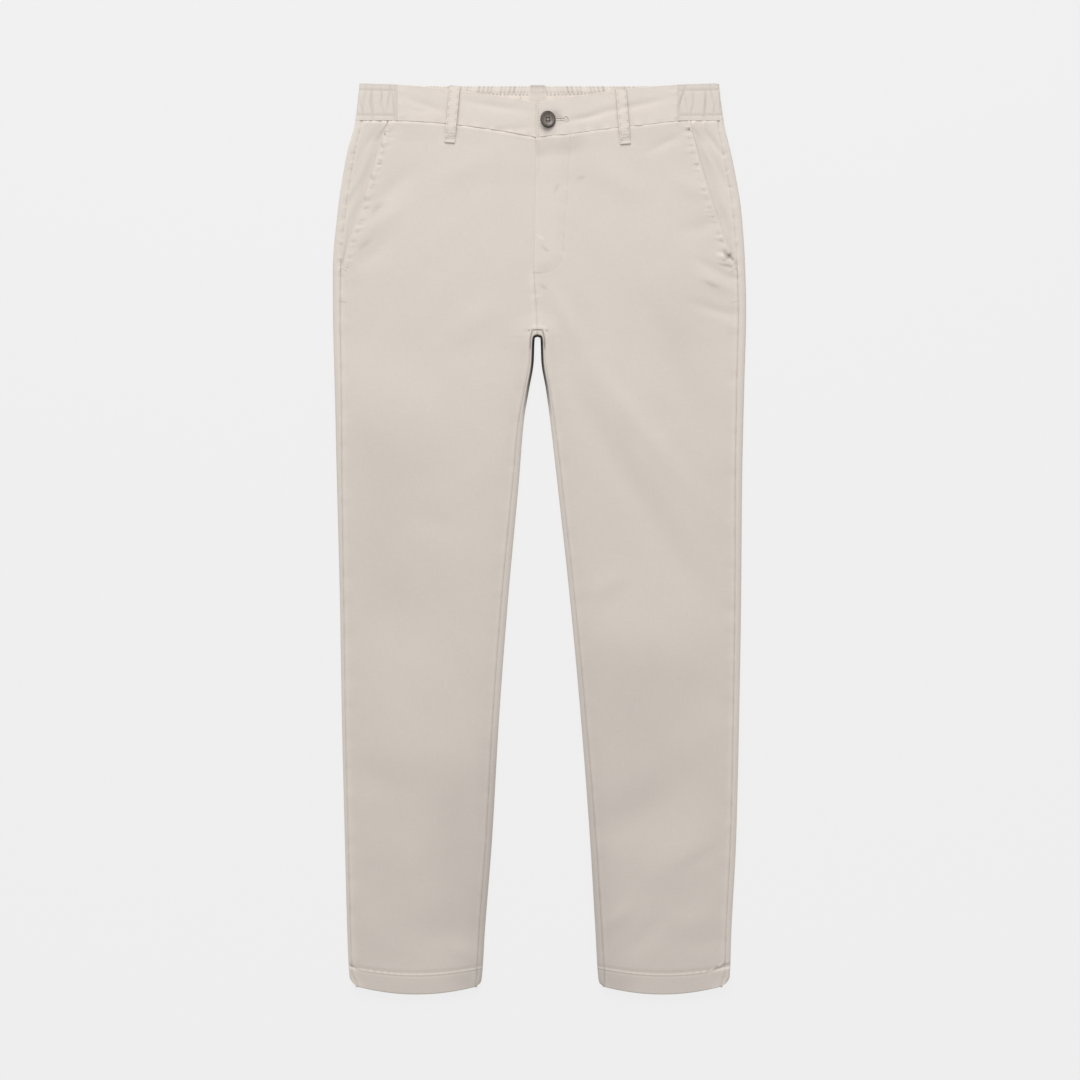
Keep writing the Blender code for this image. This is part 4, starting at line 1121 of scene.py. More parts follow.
@dataclass(frozen=True)
class Leg:
    """One leg: its front and back panels and the facing of its slant pocket."""

    side: Side
    lay: Lay = LAY
    edge_steps: tuple[float, ...] = (0.0, 0.3, 0.65, 1.05, 1.6, 2.3, 3.2, 4.4, 6.0)
    tuck_drop: float = 38.0
    tuck: float = 2.2
    waist_gap: float = 0.5
    waist_reach: float = 24.0
    fly_steps: int = 32
    front_steps: int = 40
    plain_steps: int = 62
    back_steps: int = 20
    turn_steps: int = 11
    facing_depth: float = 1.4
    facing_under: float = 14.0
    facing_ramp: float = 12.0

    def rows(self) -> Array:
        """Drops of the rows, close together at the waist, the fork and the hem."""
        lay = self.lay
        hips = ((self.tuck_drop, 1.1), (lay.seam_drop, 0.9), (100.0, 1.5), (lay.seat_end, 1.2), (272.0, 0.5))
        fork = ((280.0, 0.7), (lay.tab_row, 2.8), (lay.tab_end, 1.2), (lay.leg_top, 4.2))
        hem = ((1000.0, 1.5), (1010.0, 0.7), (1019.0, 1.4), (1033.0, 0.6), (lay.hem_drop, 0.0))
        return stepped(*hips, *fork, *hem)

    def tucked(self, drop: Array) -> Array:
        """How far a row is drawn in under the waistband."""
        return self.tuck * ease((self.lay.seam_drop + 0.4 - drop) / 3.0)

    def waist_rise(self, x: Array, y: Array, z: Array) -> Array:
        """Rise of the cloth towards the waistband that it is sewn to."""
        seam_y = self.lay.band_y(x, 0.0)
        near = bell(x - self.lay.centre, 60.0) * (1.0 if self.side is Side.RIGHT else 0.3)
        elastic = 0.3 * ease((np.abs(x) - abs(self.lay.elastic_end(self.side))) / 4.0)
        short = self.lay.band_face(self.side, x, seam_y) + elastic - self.waist_gap * (0.3 + 0.7 * near) - z
        return np.maximum(short, 0.0) * (1.0 - ease((seam_y - y) / self.waist_reach))

    def puckers(self, seams: SideSeams) -> list[Pucker]:
        """Uneven small creases that the sewing draws in beside this leg's seams."""
        side, sign = self.side, self.side.sign
        waist_x = np.linspace(-4.0 if side is Side.RIGHT else 4.0, sign * 204.0, 60)
        waist = plan(waist_x, self.lay.band_y(waist_x, 0.0))
        elastic = waist[np.abs(waist_x) > abs(self.lay.elastic_end(side))]
        rows = [
            (PuckerRow(6.6, 10.0, 1.5, 0.34, 0.8, -sign), seams.aside(seams.mouth, 5.4), 11),
            (PuckerRow(5.2, 5.0, 1.2, 0.36, 0.8, sign), seams.aside(seams.mouth, 5.8), 21),
            (PuckerRow(9.0, 9.0, 2.2, 0.3, 0.6, sign), seams.side_seam, 12),
            (PuckerRow(19.0, 15.0, 3.6, 0.24, 0.6, -sign), seams.outseam, 13),
            (PuckerRow(21.0, 14.0, 3.4, 0.2, 0.6, sign), seams.inseam, 14),
            (PuckerRow(5.4, 12.0, 1.5, 0.55, 0.4, -sign), elastic, 15),
            (PuckerRow(11.0, 10.0, 2.6, 0.3, 0.35, -sign), waist, 16),
        ]
        if side is Side.LEFT:
            rows.append((PuckerRow(12.0, 14.0, 2.6, 0.12, 0.8, -1), seams.fly_stitch(), 17))
            rows.append((PuckerRow(13.0, 11.0, 2.6, 0.1, 0.8, 1), seams.fly_stitch(), 18))
        rows.append((PuckerRow(10.0, 10.0, 2.2, 0.24, 0.5, sign), seams.centre, 19))
        return [pucker for row, line, seed in rows for pucker in row.along(line, seed + 40 * (sign + 1))]

    def hem_relief(self, x: Array, drop: Array) -> tuple[Array, Array]:
        """The roped ridge on the turned hem's stitching with the dip under it, and the painted light and
        shade on them.
        """
        past = drop - self.lay.hem_stitch + self.lay.hem_lift(self.side, x)
        slant = x + 0.5 * past * self.side.sign
        uneven = 0.55 + 0.45 * np.sin(0.043 * x + 1.3) * np.sin(0.021 * x + 0.4 * self.side.sign)
        waves = np.sin(2 * math.pi * slant / 8.2 + 0.9 * np.sin(0.11 * x))
        puffed = ease((np.abs(x) - 150.0) / 40.0)
        rope = (0.06 + 0.4 * puffed) * uneven * waves
        ridge = (0.16 + rope) * bell(past - 0.6, 1.2) - (0.3 + 0.5 * rope) * bell(past - 2.9, 0.9)
        # painted light on the rope's humps, painted shade on the ridge and in the line under it
        tone = (2.8 * rope - 0.45) * bell(past - 0.9, 1.5) - 1.9 * bell(past - 2.7, 0.75)
        return ridge + 0.3 * rope * bell(past - 5.0, 4.0), tone

    def edge_tone(self, x: Array, drop: Array) -> Array:
        """Mark for the finish: shade towards the inner leg, and light along the outer edge low down."""
        over = 0.6 * np.maximum(self.lay.fork_drop - drop, 0.0)
        inner = np.hypot(edge(INNER_EDGES, self.side, drop) - x, over)
        outer = np.abs(edge(OUTER_EDGES, self.side, drop) - x)
        below = ease((drop - self.lay.fork_drop + 2.0) / 12.0)
        shade = edge(INNER_SHADES, self.side, drop) * below * np.exp(-inner / 13.0)
        return 0.35 * ease((drop - 600.0) / 140.0) * bell(outer, 8.0) - shade

    def loop_foot(self) -> Array:
        """Plan line just below the foot of the belt loop on this side."""
        line = FRONT_LOOPS[self.side]
        return np.array([[line.foot_x - 5.6, line.foot_y - 0.5], [line.foot_x + 5.6, line.foot_y - 0.5]])

    def front(self, seams: SideSeams) -> Sheet:
        """The outer face of the front panel, from the centre out to the pocket and side seam."""
        side, lay, sign = self.side, self.lay, self.side.sign
        row = self.rows()[:, None]
        inner, inner_drop = (value[:, None] for value in lay.centre_line(side, row[:, 0]))
        outer = lay.side_line(side, row)
        near = np.array(self.edge_steps)
        reach = near[-1]
        far_end = np.abs(outer - inner)
        if side is Side.LEFT:
            fly_end = reach + 40.0
            spread = np.linspace(reach, fly_end, self.fly_steps, endpoint=False)[None, 1:]
            rest = np.linspace(0.0, 1.0, self.front_steps)[None, :-1]
            middle = [
                np.broadcast_to(spread, (len(row), spread.shape[1])),
                fly_end + (far_end - reach - fly_end) * rest,
            ]
        else:
            middle = [reach + (far_end - 2 * reach) * np.linspace(0.0, 1.0, self.plain_steps)[None, 1:-1]]
        close = np.broadcast_to(near[None], (len(row), len(near)))
        across = np.concatenate([close, *middle, far_end - near[None, ::-1]], axis=1)
        x = inner + sign * across
        drop = inner_drop + (row - inner_drop) * ease(across / 30.0)
        y = lay.front_y(side, x, drop)
        z = lay.upper_face(side, x, y, drop) + lay.mouth_height(side, x, drop)
        relief, tone = self.hem_relief(x, drop)
        tight = folds_height(TIGHT_FOLDS[side], x, y)
        relief = relief + puckers_height(self.puckers(seams), x, y) + tight
        # painted shade and light: the tight creases, the shade towards the inner leg, the light along the
        # outer edge and the broad swells and sinks
        tone = tone + 1.8 * tight + self.edge_tone(x, drop) + folds_height(LEG_SHADES, x, y)
        from_leg = distance_to(np.concatenate([seams.fork, seams.inseam]), x, y)
        relief += LEG_SEAM.relief(np.minimum(from_leg, distance_to(seams.outseam, x, y)))
        clear = (0.3 + 0.7 * ease((drop - 46.0) / 10.0)) * (1.0 - 0.75 * ease((drop - 104.0) / 36.0))
        relief += POCKET_EDGE.relief(distance_to(seams.mouth, x, y)) * clear
        relief += WAIST_SEAMS[side].relief(np.abs(y - lay.band_y(x, 0.0)))
        relief += CENTRE_SEAM.relief(distance_to(seams.centre, x, y))
        relief += LOOP_FOOT.relief(distance_to(self.loop_foot(), x, y))
        if side is Side.LEFT:
            z = z + lay.fly_height(x, drop)
            # painted light where the fly stands raised
            tone += 0.22 * lay.fly_height(x, drop) / lay.fly_rise
            relief += FLY_STITCHING.relief(distance_to(seams.fly_stitch(), x, y))
            relief += FLY_EDGE.relief(distance_to(seams.fly, x, y))
            # painted shade in the needle holes beside the fly's free edge, near the waist
            dots = 0.5 + 0.5 * np.sin(2.0 * math.pi * y / 3.1)
            tone -= 1.8 * dots * bell(x - lay.fly_edge(drop) - 2.6, 0.7) * ease((104.0 - drop) / 20.0)
        else:
            # painted light on the ridge beside the centre seam
            tone += 0.3 * bell(distance_to(seams.centre, x, y) - 3.0, 2.6)
            under = ease((x - lay.fly_edge(drop)) / 4.0) * ease((lay.fly_foot_drop - drop) / 8.0)
            z = z - lay.underlap_sink * under
        # painted shade along the fork seam round the tab and beside the tab's corners
        corner_shade = bell(np.abs(x - lay.centre) - 11.5, 3.0) * bell(drop - lay.tab_drop + 0.5, 1.1)
        tone -= 3.8 * bell(distance_to(seams.fork, x, y), 0.9) + 0.9 * corner_shade
        z = z + self.waist_rise(x, y, z)
        relief -= 0.9 * ease((drop - lay.hem_drop + 1.1) / 1.1) ** 2
        z = z + relief - self.tucked(drop)
        # the crease mark: painted shade in hollows, painted light on swells, and the painted light and shade
        # added above
        marks = {"crease": painted_relief_shading(relief, 0.6) + tone}
        middle_column = len(near) + 20
        in_tab = (row > lay.tab_row) & (row < lay.tab_end) & (np.abs(x - lay.centre) < lay.tab_half)
        x = np.where(in_tab, np.nan, x)
        return Sheet(np.stack([x, y, z], axis=2), middle_column, (0.0, 0.0, 1.0), marks)

    def rolled(self, fold: Array, way: Array, seam: Array, row: Array) -> Array:
        """Columns from a seam on top, over a rolled edge, down to the ground.

        Args:
            fold: The folded edge in plan, (rows, 2).
            way: The way from it into the cloth, (rows, 2).
            seam: The seam on top in plan, (rows, 2).
            row: The rows' drops, (rows, 1).

        Returns:
            The places, (rows, columns, 3).
        """
        lay = self.lay
        reach = np.minimum(lay.roll_reach, 0.75 * np.linalg.norm(seam - fold, axis=1))[:, None]
        centre = fold + way * reach
        low = lay.underside(row)
        face = lay.upper_face(self.side, centre[:, :1], centre[:, 1:], row)
        shares = np.array([0.0, 0.07, 0.17, 0.3, 0.48, 0.72])[None, :, None]
        top = seam[:, None] + (centre - seam)[:, None] * shares
        top_z = lay.upper_face(self.side, top[..., 0], top[..., 1], row)
        turn = np.linspace(0.0, math.pi, self.turn_steps)[None, :, None]
        arc = centre[:, None] - (way * reach)[:, None] * np.sin(turn)
        arc_z = (face + low) / 2 + (face - low) / 2 * np.cos(turn[..., 0])
        return np.concatenate([np.dstack([top, top_z]), np.dstack([arc, arc_z])], axis=1)

    def back(self, seams: SideSeams) -> Sheet:
        """The outer face of the back panel, from seam to seam round the underside."""
        side, lay, sign = self.side, self.lay, self.side.sign
        drop = self.rows()
        row = drop[:, None]
        height = lay.top - drop
        fold, way, seam = lay.fork_path(side, np.maximum(drop, lay.tab_row))
        near = self.rolled(fold, way, seam, row)
        above = drop < lay.tab_row
        seat, seat_end = drop < lay.seat_end, lay.seat_end
        start_y = np.interp(drop, [seat_end, lay.tab_row], [lay.top - seat_end, near[above.sum(), -1, 1]])
        start = np.where(above[:, None], plan(np.full_like(drop, lay.centre), start_y), near[:, -1, :2])
        start[seat, 1] = height[seat]
        near[above] = np.nan
        outer_seam = plan(lay.outer_seam(side, drop), height)
        outer_fold = plan(edge(OUTER_EDGES, side, drop), height)
        inward = np.broadcast_to([-float(sign), 0.0], outer_fold.shape)
        far = self.rolled(outer_fold, inward, outer_seam, row)[:, ::-1]
        shares = np.concatenate([[0.0, 0.006, 0.018, 0.04], np.linspace(0.08, 1.0, self.back_steps)[:-1]])
        end = far[:, 0, :2]
        spread = start[:, None] + (end - start)[:, None] * shares[None, :, None]
        x, y = spread[..., 0], spread[..., 1]
        flat_z = lay.underside(row) + folds_height(UNDERSIDE_FOLDS, x, y)
        centre_seam = 0.6 * bell(x - lay.centre, 0.8) * (row < lay.fork_drop)
        waist_seam = 0.5 * bell(row - lay.seam_drop, 1.2)
        flat_z = flat_z + centre_seam + waist_seam + self.tucked(row) * 0.6
        points = np.concatenate([near[:, :-1], np.dstack([spread, flat_z]), far[:, 1:]], axis=1)
        x, y, drops = points[..., 0], points[..., 1], np.broadcast_to(row, points.shape[:2])
        upper = np.zeros(points.shape[:2])
        upper[:, :6] = 1.0
        upper[:, -6:] = 1.0
        relief, rope_shading = self.hem_relief(x, drops)
        relief = relief + puckers_height(self.puckers(seams), np.nan_to_num(x), np.nan_to_num(y))
        from_leg = distance_to(np.concatenate([seams.fork, seams.inseam]), x, y)
        relief += LEG_SEAM.relief(np.minimum(from_leg, distance_to(seams.outseam, x, y)))
        relief += HIP_SEAM.relief(distance_to(seams.side_seam, x, y))
        relief = relief * upper
        relief -= 0.9 * upper * ease((drops - lay.hem_drop + 1.1) / 1.1) ** 2
        points[..., 2] += relief - upper * self.tucked(drops)
        points[..., 1] -= np.nan_to_num(lay.hem_bow(side, x, drops))
        # painted shade on the roll beside the fork where it faces the gap, and along the fork seam round the
        # tab; the leg's and hem's painted light and shade are added too
        rolls = np.zeros(points.shape[1])
        turn = np.linspace(0.0, math.pi, self.turn_steps)[:-1]
        rolls[6 : 5 + self.turn_steps] = ease((np.sin(turn) - 0.08) / 0.3)
        fork = value_at(FORK_SHADES, row) * rolls
        shade = np.nan_to_num(self.edge_tone(x, drops) + folds_height(LEG_SHADES, x, y) + rope_shading)
        tone = painted_relief_shading(relief, 0.6) + shade * (points[..., 2] > 1.0) - fork
        tone -= 2.8 * upper * bell(np.nan_to_num(distance_to(seams.fork, x, y), nan=99.0), 0.9)
        spine = near.shape[1] + 10
        return Sheet(points, spine, (0.0, 0.0, -1.0), {"crease": tone})

    def facing(self, seams: SideSeams) -> Sheet:
        """The outer face of the pocket facing, from under the mouth to the side seam."""
        side, lay, sign = self.side, self.lay, self.side.sign
        foot = lay.side_foot
        row = stepped((self.tuck_drop, 1.1), (lay.seam_drop, 1.5), (foot, 0.0))[:, None]
        mouth = edge(POCKET_MOUTHS, side, np.minimum(row, lay.mouth_foot_drop))
        shown = np.abs(lay.outer_seam(side, row) - mouth)
        under = np.array([-self.facing_under, -8.0, -3.0, -1.2])[None]
        shares = 0.5 - 0.5 * np.cos(np.linspace(0.0, math.pi, 34))[None]
        across = np.concatenate([np.broadcast_to(under, (len(row), 4)), shown * shares], axis=1)
        x = mouth + sign * across
        drop = np.broadcast_to(row, x.shape)
        y = lay.front_y(side, x, drop)
        ramp = self.facing_ramp * (0.12 + 0.88 * ease((drop - lay.seam_drop) / 25.0))
        ramp = np.minimum(ramp, 0.9 * shown)
        sink = ease((drop - 200.0) / 9.0)
        below = np.maximum(1.0 - ease(across / ramp), sink)
        relief = puckers_height(self.puckers(seams), x, y)
        relief += HIP_SEAM.relief(distance_to(seams.side_seam, x, y))
        relief += WAIST_SEAMS[side].relief(np.abs(y - lay.band_y(x, 0.0)))
        z = lay.upper_face(side, x, y, drop)
        z = z + self.waist_rise(x, y, z) - self.facing_depth * below + relief - self.tucked(drop)
        # painted light beside the pocket mouth near the waist, where the facing dips under the front; painted
        # shade in hollows below
        painted_light = 1.6 * bell(across - 0.5, 2.5) * bell(drop - lay.seam_drop, 14.0)
        marks = {"crease": painted_relief_shading(relief, 0.6) + painted_light}
        return Sheet(np.stack([x, y, z], axis=2), 20, (0.0, 0.0, 1.0), marks)

    def thickness(self, sheet: Sheet, whole: float) -> Array:
        """Share of the whole wall at each place, less where the back rolls round the hem's tight corners."""
        drop = self.rows()[: len(sheet.points), None]
        share = np.repeat(np.minimum(self.lay.wall(drop) / whole, 1.0), sheet.points.shape[1], axis=1)
        if sheet.outward[2] < 0:
            rolled = 5 + self.turn_steps
            thin = 1.0 - 0.7 * ease((drop - self.lay.corner_drop) / 14.0)
            share[:, :rolled] *= thin
            share[:, -rolled:] *= thin
        return share

    def build(self, seams: SideSeams, surface: Surface) -> list["Piece"]:
        """Makes the leg's pieces.

        Args:
            seams: Seam lines of this side.
            surface: Cloth on which thread is laid later, to which the pieces are added.

        Returns:
            The pieces, not yet finished.
        """
        made = []
        parts = (("front", self.front), ("back", self.back), ("pocket_facing", self.facing))
        for part, face in parts:
            name, sheet = f"{part}_{self.side.word}", face(seams)
            surface.add(sheet.points)
            whole = self.lay.cloth if part == "pocket_facing" else self.lay.hem_cloth
            cut = sheet.cut()
            thing = wall_of(f"{name}_cloth", sheet, whole, self.thickness(sheet, whole))
            made.append(Piece(thing, name, "laid", cut))
        return made


# ---- waistband

FRONT_GATHERS = {
    Side.RIGHT: table(
        Crease,
        (5.8, 1.4, 0.7), (11.6, -1.0, 0.85), (17.0, 1.6, 0.45), (22.8, -1.5, 1.0), (26.4, 1.8, 0.8),
        (31.0, -0.8, 0.7), (37.4, 1.2, 0.6), (43.0, -1.4, 0.7),
    ),
    Side.LEFT: table(
        Crease,
        (4.6, 2.6, 1.25), (10.4, -1.2, 0.5), (16.8, 1.3, 0.75), (22.6, -1.6, 0.7), (28.8, 1.5, 0.85),
        (34.2, -1.0, 0.7), (39.6, 1.4, 0.6), (44.4, -1.2, 0.6),
    ),
}


@dataclass(frozen=True)
class Waistband:
    """One half of the waistband: the smooth front and the gathered elastic round to the back."""

    side: Side
    lay: Lay = LAY
    rim_steps: tuple[float, ...] = (0.0, 0.12, 0.32, 0.62, 1.0, 1.6, 2.4, 3.4)
    gather_gap: tuple[float, float] = (6.0, 10.5)
    crease_width: float = 1.3
    crease_share: float = 0.62
    stitch_pitch: float = 3.4
    slit_start: float = 17.6
    slit_end: float = 28.6
    eye_x: float = 30.0
    eye_radius: float = 2.1
    slit_y: float = 482.3
    press_x: float = 18.5
    join_rim: float = 0.12
    fine_end: float = 38.0
    fine_step: float = 0.55
    foot_rims: tuple[float, float] = (0.7, 0.45)

    def shares(self, depth: float, middle_steps: int) -> Array:
        """Rows across the band as shares of its depth, close together at both edges."""
        near = np.array(self.rim_steps) / depth
        middle = np.linspace(near[-1], 1.0 - near[-1], middle_steps)[1:-1]
        return np.concatenate([near, middle, 1.0 - near[::-1]])

    def slit(self, x: Array, y: Array) -> Array:
        """Relief of the buttonhole, a slit with a round eye, and the hollow that the button presses."""
        if self.side is Side.RIGHT:
            return np.zeros(np.broadcast(x, y).shape)
        line = np.array([[self.slit_start, self.slit_y], [self.slit_end, self.slit_y]])
        away = distance_to(line, x, y)
        eye = np.hypot(x - self.eye_x, y - self.slit_y) - self.eye_radius
        behind = ease((x - self.eye_x + 0.5) / 1.5)
        rim = 0.25 * bell(eye - 1.0, 0.7) - 0.5 * bell(eye, 0.45) * (0.35 + 0.65 * behind)
        pressed = 1.5 * bell(x - self.press_x, 6.0) * bell(y - self.slit_y, 8.0)
        groove = 0.5 * bell(away, 0.6) + 0.3 * bell(away - 2.2, 0.4)
        return rim + 0.2 * bell(away - 1.3, 0.6) - groove - pressed

    def front(self) -> tuple[Sheet, Array]:
        """The middle sheet of the smooth front half, and the relief of its face."""
        side, lay, sign = self.side, self.lay, self.side.sign
        end = lay.elastic_end(side) - sign * 0.02
        start = float(lay.fly_edge(lay.seam_drop)) if side is Side.LEFT else lay.underlap_band_x
        near = sign * np.array(self.rim_steps)
        rest_from, fine = start + near[-1], []
        if side is Side.LEFT:
            fine = np.arange(rest_from, self.fine_end, self.fine_step)[1:]
            rest_from = fine[-1]
        last = end - near
        rest = np.linspace(rest_from, last[-1], round(abs(last[-1] - rest_from) / 1.5))[1:-1]
        x = np.concatenate([start + near, fine, rest, last[::-1]])
        x = np.broadcast_to(x[None], (1, len(x)))
        share = self.shares(42.0, 92 if side is Side.LEFT else 30)[::-1, None]
        y = lay.band_y(x, share)
        if side is Side.RIGHT:
            y = y + 2.0 * (1.0 - 2.0 * share) * ease((x - lay.centre) / 6.0)
        x = np.broadcast_to(x, y.shape)
        face = lay.band_face(side, x, y)
        foot = plan(x[-1], y[-1])
        head = plan(x[0], y[0])
        relief = puckers_height(PuckerRow(9.0, 9.0, 2.3, 0.26, 0.3, sign).along(foot, 51), x, y)
        relief += puckers_height(PuckerRow(12.0, 9.0, 2.6, 0.2, 0.3, -sign).along(head, 52), x, y)
        column = np.array([[end - sign * 1.0, y[0, -1]], [end - sign * 1.0, y[-1, -1]]])
        relief += puckers_height(PuckerRow(6.5, 9.0, 1.7, 0.16, 0.5, -sign).along(column, 53), x, y)
        relief += self.slit(x, y)
        if side is Side.LEFT:
            relief -= 0.6 * bell(x - start - 2.6, 0.6) * (0.5 + 0.5 * np.sin(2.0 * math.pi * y / 2.9))
        z = face - lay.band_cloth / 2
        return Sheet(np.stack([x, y, z], axis=2), 40, (0.0, 0.0, 1.0), {}), relief

    def gathers(self, length: float) -> list[Crease]:
        """Every crease of the elastic, by its distance from the elastic's front end."""
        chance = np.random.default_rng(60 + self.side.sign)
        made = list(FRONT_GATHERS[self.side])
        at = made[-1].at + 5.0
        while at < length - 6.0:
            made.append(Crease(at, chance.uniform(-2.2, 2.2), chance.uniform(0.45, 0.95)))
            at += chance.uniform(*self.gather_gap)
        return made

    def elastic(self) -> tuple[Sheet, Array, Array]:
        """The middle sheet of the gathered half, and the reliefs of its outer and inner face."""
        side, lay, sign = self.side, self.lay, self.side.sign
        end, centre = lay.elastic_end(side) + sign * 0.02, lay.centre - sign * 0.1
        reach = lay.band_roll_reach
        share = self.shares(42.0, 38)[::-1, None]
        drop = lay.seam_drop * (1.0 - share)
        near = edge(OUTER_EDGES, side, drop) - sign * reach
        rim = np.array(self.rim_steps)
        front_length = float(np.abs(near - end).mean())
        front_t = np.concatenate([rim, np.linspace(rim[-1], front_length, 66)[1:]])[None] / front_length
        x0 = end + (near - end) * front_t
        y0 = lay.band_y(x0, share) + lay.band_top_drop * share * front_t
        z0 = np.full_like(x0, lay.side_face_height - lay.band_cloth / 2)
        turn = np.linspace(0.0, math.pi, 22)[None, 1:]
        low, cut = lay.loop_lift, lay.band_cloth / 2
        half = (lay.side_face_height - low) / 2
        seam_y = lay.top - lay.seam_drop + 0.15
        y1 = np.broadcast_to(seam_y + (lay.top - seam_y) * share, (len(share), turn.shape[1]))
        x1 = near + sign * (reach - cut) * np.sin(turn)
        z1 = np.broadcast_to((lay.side_face_height + low) / 2 + (half - cut) * np.cos(turn), y1.shape)
        back_length = float(np.abs(near - centre).mean())
        back = np.linspace(0.0, back_length - rim[-1], 190)[1:]
        back_t = np.concatenate([back, back_length - rim[::-1][1:]])[None] / back_length
        x2 = near + (centre - near) * back_t
        y2 = seam_y + (lay.top - seam_y - lay.back_top_drop * ease(back_t * 6.0)) * share
        z2 = np.full_like(x2, low + cut)
        places = [np.dstack(part) for part in ((x0, y0, z0), (x1, y1, z1), (x2, y2, z2))]
        points = np.concatenate(places, axis=1)
        walked = walked_to(points, 1)
        relief = self.gathered(walked, share)
        plain = ease((np.abs(points[..., 0] - centre) - 6.0) / 8.0)
        in_back = np.arange(points.shape[1])[None] >= places[0].shape[1] + places[1].shape[1]
        relief = relief * np.where(in_back, plain, 1.0)
        uneven = 0.5 + 0.5 * np.sin(walked / 6.7) * np.sin(walked / 2.9 + 1.0)
        ruffle = uneven * (0.5 + 0.5 * np.sin(2.0 * math.pi * walked / 4.4 + 1.7 * np.sin(walked / 5.3)))
        high = share - 0.8 + lay.inside_sag(points[..., 0]) / 40.0
        dashed = bell(high, 0.022) * (0.35 + 0.65 * np.sin(2.0 * math.pi * walked / 4.4 + 0.8))
        inside = 0.3 * self.gathered(walked + 4.3, share) - 0.45 * dashed
        inside = (inside - 0.3 * ruffle * ease(high / 0.05)) * np.where(in_back, plain, 1.0)
        return Sheet(points, 30, (0.0, 0.0, 1.0), {}), relief, inside

    def gathered(self, walked: Array, share: Array) -> Array:
        """Relief of the gathers.

        Args:
            walked: Distance of each place from the elastic's front end.
            share: Share of the band's depth of each row.

        Returns:
            Heights, which fall in the creases and rise between them.
        """
        sewn, stitched = np.ones_like(share), np.zeros_like(share)
        for line in STITCH_SHARES:
            sewn = sewn * (1.0 - 0.6 * bell(share - line, 0.045))
            stitched = stitched + bell(share - line, 0.02)
        relief = np.zeros_like(walked)
        for i, crease in enumerate(self.gathers(float(walked.max()))):
            bend = crease.lean * (2.3 * np.sin(2.6 * (share - 0.5) + 0.4 * i) + 0.5 * np.cos(5.0 * share + i))
            away = walked - crease.at - bend
            upper = bell(share - 0.48 - 0.2 * math.sin(2.4 * i), 0.32 + 0.12 * math.cos(1.3 * i))
            hollow = bell(away, self.crease_width * (1.3 - 0.4 * sewn))
            relief -= self.crease_share * crease.depth * upper * hollow
        swells = 0.36 * sewn * ease(walked / 8.0)
        rim = 0.25 + 0.75 * ease(walked / 5.0)
        return (relief * sewn + swells) * rim - 0.26 * stitched * self.dashes(walked) * ease(walked / 3.0)

    def dashes(self, walked: Array) -> Array:
        """Share of a stitched line's depth at each place: deep under a stitch, shallow between two."""
        return 0.55 + 0.45 * np.sin(2.0 * math.pi * walked / self.stitch_pitch)

    def join_light(self, sheet: Sheet) -> Array:
        """Share of each place beside the join of the smooth front and the elastic, where painted light goes.
        """
        return bell(sheet.points[..., 0] - self.lay.elastic_end(self.side), 0.9)

    def edge_shade(self, sheet: Sheet) -> Array:
        """Mark for the finish: painted shade along the band's top edge, its first row, and painted light
        beside the join of the smooth front and the elastic.
        """
        return 1.5 * bell(sheet.points[..., 1] - sheet.points[:1, :, 1], 1.2) - 0.9 * self.join_light(sheet)

    def build(self, surface: Surface) -> list["Piece"]:
        """Makes both pieces of this half.

        Args:
            surface: Cloth on which thread is laid later, to which the pieces are added.

        Returns:
            The pieces, not yet finished.
        """
        word, cloth = self.side.word, self.lay.band_cloth
        made = []
        sheet, relief = self.front()
        # painted shade in the band's hollows and along its top edge, painted light on swells and beside the
        # join
        sheet.marks["crease"] = painted_relief_shading(relief, 0.6) - self.edge_shade(sheet)
        foot_rim = self.foot_rims[self.side is Side.LEFT]
        rims = (cloth / 2, self.join_rim, cloth / 2, foot_rim)
        thing = pad_of(f"waistband_front_{word}_cloth", sheet, cloth, relief, np.zeros_like(relief), rims)
        surface.add(sheet.moved(relief + cloth / 2).points)
        made.append(Piece(thing, f"waistband_front_{word}", "laid", sheet.cut()))
        sheet, outer, inner = self.elastic()
        # the same for the elastic, darker all over by the offset
        sheet.marks["crease"] = painted_relief_shading(outer - 0.4, 0.8) - self.edge_shade(sheet)
        # inside the back: painted shade in the stitch pits and hollows, painted light on swells, and the
        # band's edge shade
        inner_tone = 1.8 * np.clip(inner / 0.25, -3.0, 0.35) - self.edge_shade(sheet)
        rims = (self.join_rim, self.join_rim, cloth / 2, foot_rim)
        thing = pad_of(f"waistband_back_{word}_cloth", sheet, cloth, outer, inner, rims, inner_tone)
        surface.add(sheet.moved(outer + cloth / 2).points)
        surface.add(sheet.moved(-inner - cloth / 2).points)
        made.append(Piece(thing, f"waistband_back_{word}", "gathered", sheet.cut()))
        return made


# ---- belt loops


